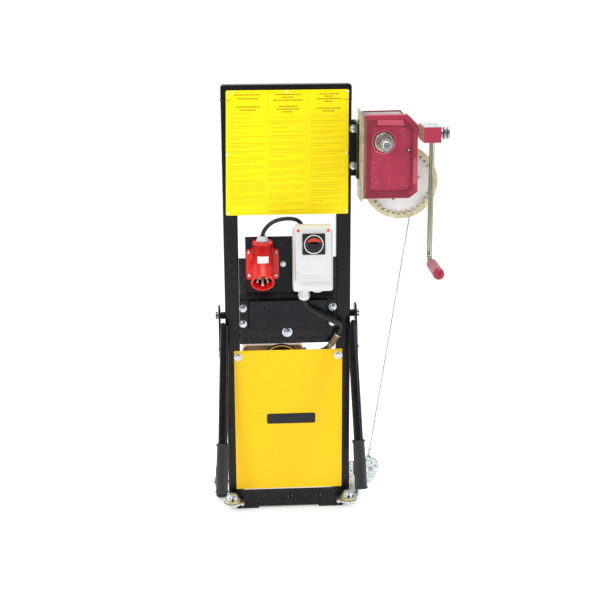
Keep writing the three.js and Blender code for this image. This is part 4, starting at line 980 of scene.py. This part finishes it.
# ------------------------------------------------------------------ handles
for side, s, body in (("left", -1, "handle_left"), ("right", 1, "handle_right")):
    A = Vector((s * 194, -150, 119)); T_ = Vector((s * 176.2, -24, 566)); ax = (T_ - A).normalized()
    L_ = (T_ - A).length
    q = Piece()
    q.lathe([(0, 0), (13.0, 0), (13.0, L_ - 4), (12.1, L_ - 1.2), (9, L_), (0, L_ + 0.3)], A, ax, 40)
    xa, xb = (187.5, 193.5)
    out = [(-2, 600), (4, 606.5), (12, 610), (26, 610), (35, 606), (40, 598), (40, 580), (14, 480), (10, 472), (4, 470), (-32, 470), (-39, 474), (-41, 482), (-26, 540)]
    hole = [circ(16, 582, 6.3, 24), [(-24 + 5 * math.cos(t) , 500 + 5 * math.sin(t)) for t in np.linspace(0, 2 * math.pi, 16, endpoint=False)], rr(-10, -3, 486, 506, 3.4, 4)]
    q.prism(out, "x", min(s * xa, s * xb), max(s * xa, s * xb), holes=hole)
    q.cyl((s * 175.6, -25, 565), (s * 188.6, -23, 560), 9, 24)
    q.cyl((s * 181, -48, 500), (s * 189, -36, 500), 8, 24)
    o = q.make("handle_arm_" + side, "black", body, 0.6, angle=38)
    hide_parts("handle_" + side)
    q = Piece()
    for (y_, z_, r_) in ((30, 596, 4.2), (-28, 482, 4.2), (6, 494, 3.4)):
        q.lathe([(0, 0), (r_ + 1.6, 0), (r_ + 1.4, 1.6), (r_, 2.2), (0, 2.4)], (s * 193.4, y_, z_), (s, 0, 0), 20)
    q.cyl((s * 186.0, -20, 556), (s * 186.0, -36, 500), 2.2, 16)
    q.cyl((s * 186.0, -14, 520), (s * 183.0, -24, 520), 1.8, 12)
    q.make("handle_lock_" + side, "zinc", body, 0)
    q = Piece()
    q.lathe([(0, 0), (9.8, 0), (10.4, 0.6), (10.4, 2.0), (0, 2.0)], (s * 193.8, 16, 582), (s, 0, 0), 32)
    q.hexhead((s * 195.6, 16, 582), (s, 0, 0), 18, 6.0, phase=0.2, stud=5, stud_h=1.2)
    q.make("handle_nut_" + side, "zinc", "frame", 0)
    # rubber grip: collars and waist
    o_ = A.copy()
    Lg = 137
    pr = [(0, -0.2), (14, -0.2), (17.6, 0.6), (18.4, 2), (18.4, 5.0), (17.4, 6.4), (16.0, 7.4)]
    for i in range(1, 14):
        pr.append((16.0 + 0.9 * math.sin(math.pi * i / 14), 7.4 + (Lg - 16.4) * i / 14))
    pr += [(16.0, Lg - 9), (17.4, Lg - 8), (18.4, Lg - 6.6), (18.4, Lg - 3), (17.6, Lg - 1.4), (16.4, Lg - 0.2), (13.2, Lg)]
    pr += [(13.2, 3), (0, 3)]
    q = Piece()
    q.lathe(pr, o_, ax, 40)
    o = q.make("grip_sleeve_" + side, "rubber", body, 0, angle=40)
    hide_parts("grip_" + side)

# ------------------------------------------------------------------ wheels and axle
for side, s in (("left", -1), ("right", 1)):
    q = Piece()
    q.lathe([(33, -16), (38, -16.6), (43, -15.6), (46.6, -12), (48, -7.5), (48, -1.2), (46.9, -0.6), (46.9, 0.6), (48, 1.2), (48, 7.5), (46.6, 12), (43, 15.6), (38, 16.6), (33, 16), (33, -16)], (s * 196.5, 86, 48), (1, 0, 0), 72)
    o = q.make("tyre_" + side, "tyre", "wheel_" + side, 0)
    q = Piece()
    q.lathe([(6.1, -18.4), (13, -18.4), (13.8, -17.4), (14.4, -12), (24, -7.5), (27, -11), (32.4, -15.4), (33.2, -14.6), (33.2, 14.6), (32.4, 15.4), (27, 11), (24, 7.5), (14.4, 12), (13.8, 17.4), (13, 18.4), (6.1, 18.4), (6.1, -18.4)], (s * 196.5, 86, 48), (1, 0, 0), 64)
    for i in range(6):
        t = math.pi / 3 * i
        for sg in (1, -1):
            q.tube([(s * 196.5 + sg * 11.5, 86 + 14.2 * math.cos(t), 48 + 14.2 * math.sin(t)), (s * 196.5 + sg * 9.4, 86 + 22 * math.cos(t), 48 + 22 * math.sin(t)), (s * 196.5 + sg * 11, 86 + 29 * math.cos(t), 48 + 29 * math.sin(t))], 2.0, 10)
    o2 = q.make("rim_" + side, "plas_black", "wheel_" + side, 0.3, angle=40)
    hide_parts("wheel_" + side)
    q = Piece()
    q.lathe([(0, 0), (4.8, 0.2), (8.5, 1.8), (9, 4), (9, 5.6), (6.4, 5.6), (0, 5.6)], (s * 222, 86, 48), (-s, 0, 0), 32)
    q.make("axle_cap_" + side, "zinc", "frame", 0)
upgrade("wheel_axle", "zinc", 0.4, 30)

# ------------------------------------------------------------------ rope guides at the base corners
for side, x, k in (("left", -164.5, 1), ("right", 168.7, -1)):
    y, z = -32.5, 36
    q = Piece()
    q.lathe([(5.1, 0), (20.8, 0), (21.4, 0.5), (21.4, 1.4), (17.6, 3.1), (17.0, 4), (17.6, 4.9), (21.4, 6.6), (21.4, 7.5), (20.8, 8), (5.1, 8), (5.1, 0)], (x, y, z), (0, 0, 1), 56)
    o = q.make("guide_pulley_" + side, "gold", "roller_" + side, 0)
    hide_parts("guide_roller_" + side)
    kx = x + k * 27.5
    brim = []
    for bx, by in circ(x, y, 25, 72):
        if k < 0 and bx > x - 6 and by > y + 10.2:
            by = y + 10.2
        brim.append((bx, by))
    q = Piece()
    q.prism(brim, "z", z - 6, z - 0.6)
    q.box(x - 16, x + (12 if k > 0 else -6), y + 8, -5.6, z - 6, z - 0.6)
    q.cyl((x, y, z - 5), (x, y, z + 10), 5, 24)
    o = q.make("guide_plate_" + side, "galv", "frame", 0.7, angle=40, segs=3)
    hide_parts("guide_cheek_" + side)
    q = Piece()
    q.lathe([(0, 8.6), (16.3, 8.6), (17, 9.3), (17, 12), (16.5, 14.6), (14.9, 18), (12.0, 21.6), (9.0, 24.2), (7.6, 25), (4, 25.4), (3.6, 24.4), (0, 24.2)], (x, y, z), (0, 0, 1), 56)
    q.lathe([(4, 0), (5.4, 0), (5.4, 6), (4, 6), (4, 0)], (x, y - 17.6, z + 13), (0, 1, 0), 28)
    q.make("guide_dome_" + side, "galv", "frame", 0)
    q = Piece()
    q.lathe([(0, 0), (4.1, 0), (4.1, 6), (0, 6)], (x, y - 17.9, z + 13), (0, 1, 0), 28)
    if k < 0:
        q.lathe([(0, 0), (3.4, 0), (3.4, 6), (0, 6)], (x + 12.4, y - 12.6, z + 11.5), (-0.3, 1, 0), 28)
    q.make("guide_plug_" + side, "plas_black", "frame", 0)
    q = Piece()
    q.cyl((kx, y - 4, z - 7), (kx, -5.7, z - 7), 5.5, 28, ch=0.7)
    q.hexhead((kx, y - 3.8, z - 7), (0, -1, 0), 8, 3.2, 0, 0, phase=0.5)
    q.make("guide_bolt_" + side, "zinc", "frame", 0)

# ------------------------------------------------------------------ hook block
P0, P1, HY = Vector((247.2, 151)), Vector((179.4, 6)), -11.5
u_ = (P1 - P0).normalized(); v_ = Vector((-u_.y, u_.x))


def LP(a, b_):
    w_ = P0 + u_ * a + v_ * b_
    return (w_.x, w_.y)


outl = [LP(a, b_) for a, b_ in ((8, -12), (10, -17), (14, -20), (22, -20.8), (32, -21), (44, -20.8), (54, -20), (66, -16.6), (78, -12), (90, -9), (96, -8), (97.5, -4), (97.5, 4), (96, 8), (88, 12), (76, 17), (65, 21.2), (54, 23.8), (43, 23.8), (32, 23), (24, 22.4), (16, 21), (10.5, 18.6), (8, 15))]
q = Piece()
for y0, y1 in ((-10, -7), (7, 10)):
    q.prism(outl, "y", HY + y0, HY + y1, holes=[circ(*LP(14, -4.4), 2.6, 20), circ(*LP(18, 8), 2.4, 20), circ(*LP(68, 9), 3.0, 20)])
q.prism([LP(3.2, -23), LP(10.8, -23), LP(10.8, 9), LP(3.2, 9)], "y", HY - 9.5, HY + 9.5)
q.prism([LP(84, -8), LP(98, -8), LP(98, 8), LP(84, 8)], "y", HY - 7, HY + 7)
o = q.make("block_cheeks", "galv", "frame", 0.7, angle=40)
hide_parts("hook_block")
q = Piece()
hc = LP(32, 1.5)
q.hexhead((hc[0], HY - 10.1, hc[1]), (0, -1, 0), 13, 1.9, phase=0.2)
q.cyl((hc[0], HY - 10, hc[1]), (hc[0], HY + 11.8, hc[1]), 5, 24)
q.lathe([(0, 0), (7, 0), (7, 1.5), (0, 1.8)], (hc[0], HY + 10, hc[1]), (0, 1, 0), 24)
# rectangular stamped panel, plain
c4 = [LP(43, 9), LP(55, 9), LP(55, 20), LP(43, 20)]
ci = [LP(44, 10), LP(54, 10), LP(54, 19), LP(44, 19)]
q.prism(c4, "y", HY - 10.5, HY - 10, holes=[ci])
q.make("block_axle", "steel", "frame", 0)
q = Piece()
q.lathe([(5.1, -6.4), (18.8, -6.4), (19.4, -5.6), (19.4, -4.6), (16.2, -1.8), (15.6, 0), (16.2, 1.8), (19.4, 4.6), (19.4, 5.6), (18.8, 6.4), (5.1, 6.4), (5.1, -6.4)], (hc[0], HY, hc[1]), (0, 1, 0), 48)
o = q.make("block_pulley", "steel", "block_sheave", 0)
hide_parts("block_sheave")
q = Piece()


def C3(a, b_):
    w_ = LP(a, b_)
    return (w_[0], HY, w_[1])


q.cyl(C3(90, 0), C3(106, 0), 3.95, 20)
q.lathe([(0, 0), (7.4, 0), (8, 0.6), (8, 5.6), (6.6, 6.4), (0, 6.4)], C3(98.8, 0), Vector(C3(98, 0)) - Vector(C3(90, 0)), 28)
q.tube([C3(104, 0), C3(111, 1.5), C3(120, 4), C3(130, 6), C3(140, 6.4), C3(148, 5), C3(154, 0), C3(156, -7), C3(153.5, -14), C3(144.5, -19)], 4.6, 20, step=2.0,
       radii=lambda t: 3.9 + 0.7 * math.sin(math.pi * min(1, t * 1.15)) - (1.3 * max(0, (t - 0.85) / 0.15)))
o = q.make("block_swivel_hook", "galv", "block_hook", 0)
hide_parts("block_hook")
upgrade("hook_latch", "zinc", 0.3, 28)
upgrade("tie_lug", "galv", 0.5, 28)
q = Piece()
q.prism(rr(175.8, 187.2, 54, 87, 5), "y", 4.6, 6.4, holes=[rr(179.4, 183.4, 60, 82, 1.9)])
q.make("tie_lug_wear_ring", "gold", "frame", 0.4)
q = Piece()
# rope termination: ferrule and thimble eye above the block
q.lathe([(2.2, 0), (4.2, 0.6), (4.6, 3), (4.6, 15), (4.0, 17.6), (2.2, 18.4), (2.2, 0)], BOT + (TOP - BOT).normalized() * 6, TOP - BOT, 24)
q.tube([BOT + Vector(w_) for w_ in ((0, 0, 4), (-3.5, 0, -4), (-4, 0, -11), (-0.5, 0, -16), (4.5, 0, -13), (5.5, 0, -6), (2.5, 0, 2))], 2.0, 12, step=2)
q.make("rope_ferrule", "zinc", "frame", 0)

# ------------------------------------------------------------------ drive behind the cover
q = Piece()
SX, SZ = -17, 425
q.lathe([(12, 0), (20, 0), (20, 5), (51, 6), (53.8, 6.4), (55, 7.4), (55, 10.6), (53.4, 12), (47, 15.4), (46, 17), (47, 18.6), (53.4, 22), (55, 23.4), (55, 26.6), (53.8, 27.6), (22, 28), (22, 36), (12, 36), (12, 0)], (SX, 38, SZ), (0, 1, 0), 72)
q.cyl((SX, 39, SZ), (SX, 104, SZ), 12, 40)
o = q.make("sheave_disc", "black_matt", "sheave", 0)
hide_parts("traction_sheave")
q = Piece()
q.lathe([(52.6, 0), (54.9, 0), (54.9, 2.6), (52.6, 2.6), (52.6, 0)], (SX, 43.4, SZ), (0, 1, 0), 72)
q.make("sheave_rim_stripe", "yellow", "sheave", 0)
q = Piece()
q.prism(rr(-128, 48, 345, 472, 16), "y", 78, 148)
q.lathe([(14, 0), (34, 0), (34, 5), (30, 7), (14, 7), (14, 0)], (SX, 78.4, SZ), (0, -1, 0), 48)
o = q.make("gearbox_casting", "beige", "frame", 2.5, angle=40, segs=3)
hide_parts("gearbox")
q = Piece()
for x_, z_ in ((-118, 355), (38, 355), (-118, 462), (38, 462), (-40, 462), (-40, 352)):
    q.hexhead((x_, 77.6, z_), (0, -1, 0), 10, 5, 0, 0)
    q.hexhead((x_, 148.2, z_), (0, 1, 0), 10, 5, 0, 0) if abs(x_ + 40) > 1 else None
q.make("gearbox_bolts", "steel", "frame", 0)
q = Piece()
MX, MZ = -40, 408
q.lathe([(0, 0), (58, 0), (60, 1.5), (60, 9), (52, 10.5), (52, 92), (0, 92)], (MX, 150.4, MZ), (0, 1, 0), 56)
for i in range(30):
    t = 2 * math.pi * i / 30
    c_, s_ = math.cos(t), math.sin(t)
    r0, r1, hw = 50, 59.6, 1.1
    nx, nz = -s_, c_
    q.prism([(MX + c_ * r0 + nx * hw, MZ + s_ * r0 + nz * hw), (MX + c_ * r1 + nx * hw * 0.7, MZ + s_ * r1 + nz * hw * 0.7), (MX + c_ * r1 - nx * hw * 0.7, MZ + s_ * r1 - nz * hw * 0.7), (MX + c_ * r0 - nx * hw, MZ + s_ * r0 - nz * hw)], "y", 160, 240)
o = q.make("motor_body", "motor", "frame", 0)
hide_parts("motor")
q = Piece()
q.lathe([(54, 0), (59.4, 0), (60, 1), (60, 26), (58, 34), (50, 43.5), (44, 45), (44, 43), (49, 41.6), (56, 33), (57.6, 26), (57.6, 2), (54, 2), (54, 0)], (MX, 241, MZ), (0, 1, 0), 56)
for r_ in (10, 19, 28, 37):
    q.lathe([(r_, 43.2), (r_ + 2.0, 43.2), (r_ + 2.0, 45), (r_, 45), (r_, 43.2)], (MX, 241, MZ), (0, 1, 0), 48)
for i in range(8):
    t = math.pi / 4 * i
    c_, s_ = math.cos(t), math.sin(t)
    q.prism([(MX + c_ * 3 - s_ * 1.4, MZ + s_ * 3 + c_ * 1.4), (MX + c_ * 46 - s_ * 1.4, MZ + s_ * 46 + c_ * 1.4), (MX + c_ * 46 + s_ * 1.4, MZ + s_ * 46 - c_ * 1.4), (MX + c_ * 3 + s_ * 1.4, MZ + s_ * 3 - c_ * 1.4)], "y", 283.8, 285.6)
q.make("motor_fan_cowl", "motor", "frame", 0, angle=30)
q = Piece()
q.lathe([(0, 0), (11, 0), (12, 6), (12, 7), (0, 7)], (MX, 276, MZ), (0, 1, 0), 32)
for i in range(7):
    t = 2 * math.pi * i / 7
    c_, s_ = math.cos(t), math.sin(t)
    q.prism([(MX + c_ * 9, MZ + s_ * 9), (MX + c_ * 42 - s_ * 7, MZ + s_ * 42 + c_ * 7), (MX + c_ * 42 - s_ * 9, MZ + s_ * 42 + c_ * 9), (MX + c_ * 9 - s_ * 2, MZ + s_ * 9 + c_ * 2)], "y", 262, 280)
q.make("motor_fan", "plas_black", "frame", 0)
q = Piece()
q.prism(rr(-70, -10, 462, 492, 5), "y", 172, 232)
q.prism(rr(-66, -14, 492, 495, 2), "y", 176, 228)
q.make("motor_terminal_box", "motor", "frame", 1.2, angle=40)
q = Piece()
q.lathe([(6.9, 0), (11, 0), (12.6, 2), (12.6, 8), (6.9, 8), (6.9, 0)], (48.2, 90, 445.5), (1, -0.25, 0.1), 28)
q.make("motor_lead_gland", "plas_black", "frame", 0.4)

# ------------------------------------------------------------------ floor, light
me = bpy.data.meshes.new("floor")
me.from_pydata([V(-6000, -6000, -0.2), V(6000, -6000, -0.2), V(6000, 6000, -0.2), V(-6000, 6000, -0.2)], [], [(0, 1, 2, 3)])
fl = bpy.data.objects.new("floor", me)
COLL.objects.link(fl)
fm = bpy.data.materials.new("floor_mat"); fm.use_nodes = True
fb = fm.node_tree.nodes["Principled BSDF"]
fb.inputs["Base Color"].default_value = (0.93, 0.93, 0.93, 1)
fb.inputs["Roughness"].default_value = 0.75
fb.inputs["Specular IOR Level"].default_value = 0.1
fb.inputs["Emission Color"].default_value = (1, 1, 1, 1)
fb.inputs["Emission Strength"].default_value = 0.42
me.materials.append(fm)
wd = bpy.data.worlds.new("w"); bpy.context.scene.world = wd; wd.use_nodes = True
wn_, wl_ = wd.node_tree.nodes, wd.node_tree.links
wn_["Background"].inputs[0].default_value = (1, 1, 1, 1)
wc = wn_.new("ShaderNodeTexCoord"); wx = wn_.new("ShaderNodeSeparateXYZ"); wm = wn_.new("ShaderNodeMapRange")
wl_.new(wc.outputs["Generated"], wx.inputs[0]); wl_.new(wx.outputs["Y"], wm.inputs["Value"])
for k_, v_ in (("From Min", -0.7), ("From Max", 0.8), ("To Min", 0.24), ("To Max", 1.02)):
    wm.inputs[k_].default_value = v_
wl_.new(wm.outputs["Result"], wn_["Background"].inputs[1])


def area(name, loc, target, size, power, size_y=None):
    d = bpy.data.lights.new(name, "AREA")
    d.energy = power
    d.size = size
    if size_y:
        d.shape = "RECTANGLE"; d.size_y = size_y
    o = bpy.data.objects.new(name, d)
    COLL.objects.link(o)
    off = Vector((-OX / 1000, -OY / 1000, 0))
    o.location = Vector(loc) + off
    o.rotation_mode = "QUATERNION"
    o.rotation_quaternion = (Vector(target) - Vector(loc)).to_track_quat("-Z", "Y")
    return o


area("key", (-1.5, -2.7, 2.5), (0.1, 0, 0.6), 1.0, 50)
area("fill", (2.6, -1.6, 1.3), (0.1, 0, 0.6), 0.9, 26, 1.8)
area("rim", (-2.4, 0.6, 1.2), (0.0, 0, 0.6), 0.5, 18, 1.8)
area("top", (0.2, 0.2, 3.0), (0.1, 0, 0.5), 1.4, 30)
bpy.context.scene.view_settings.view_transform = "Standard"
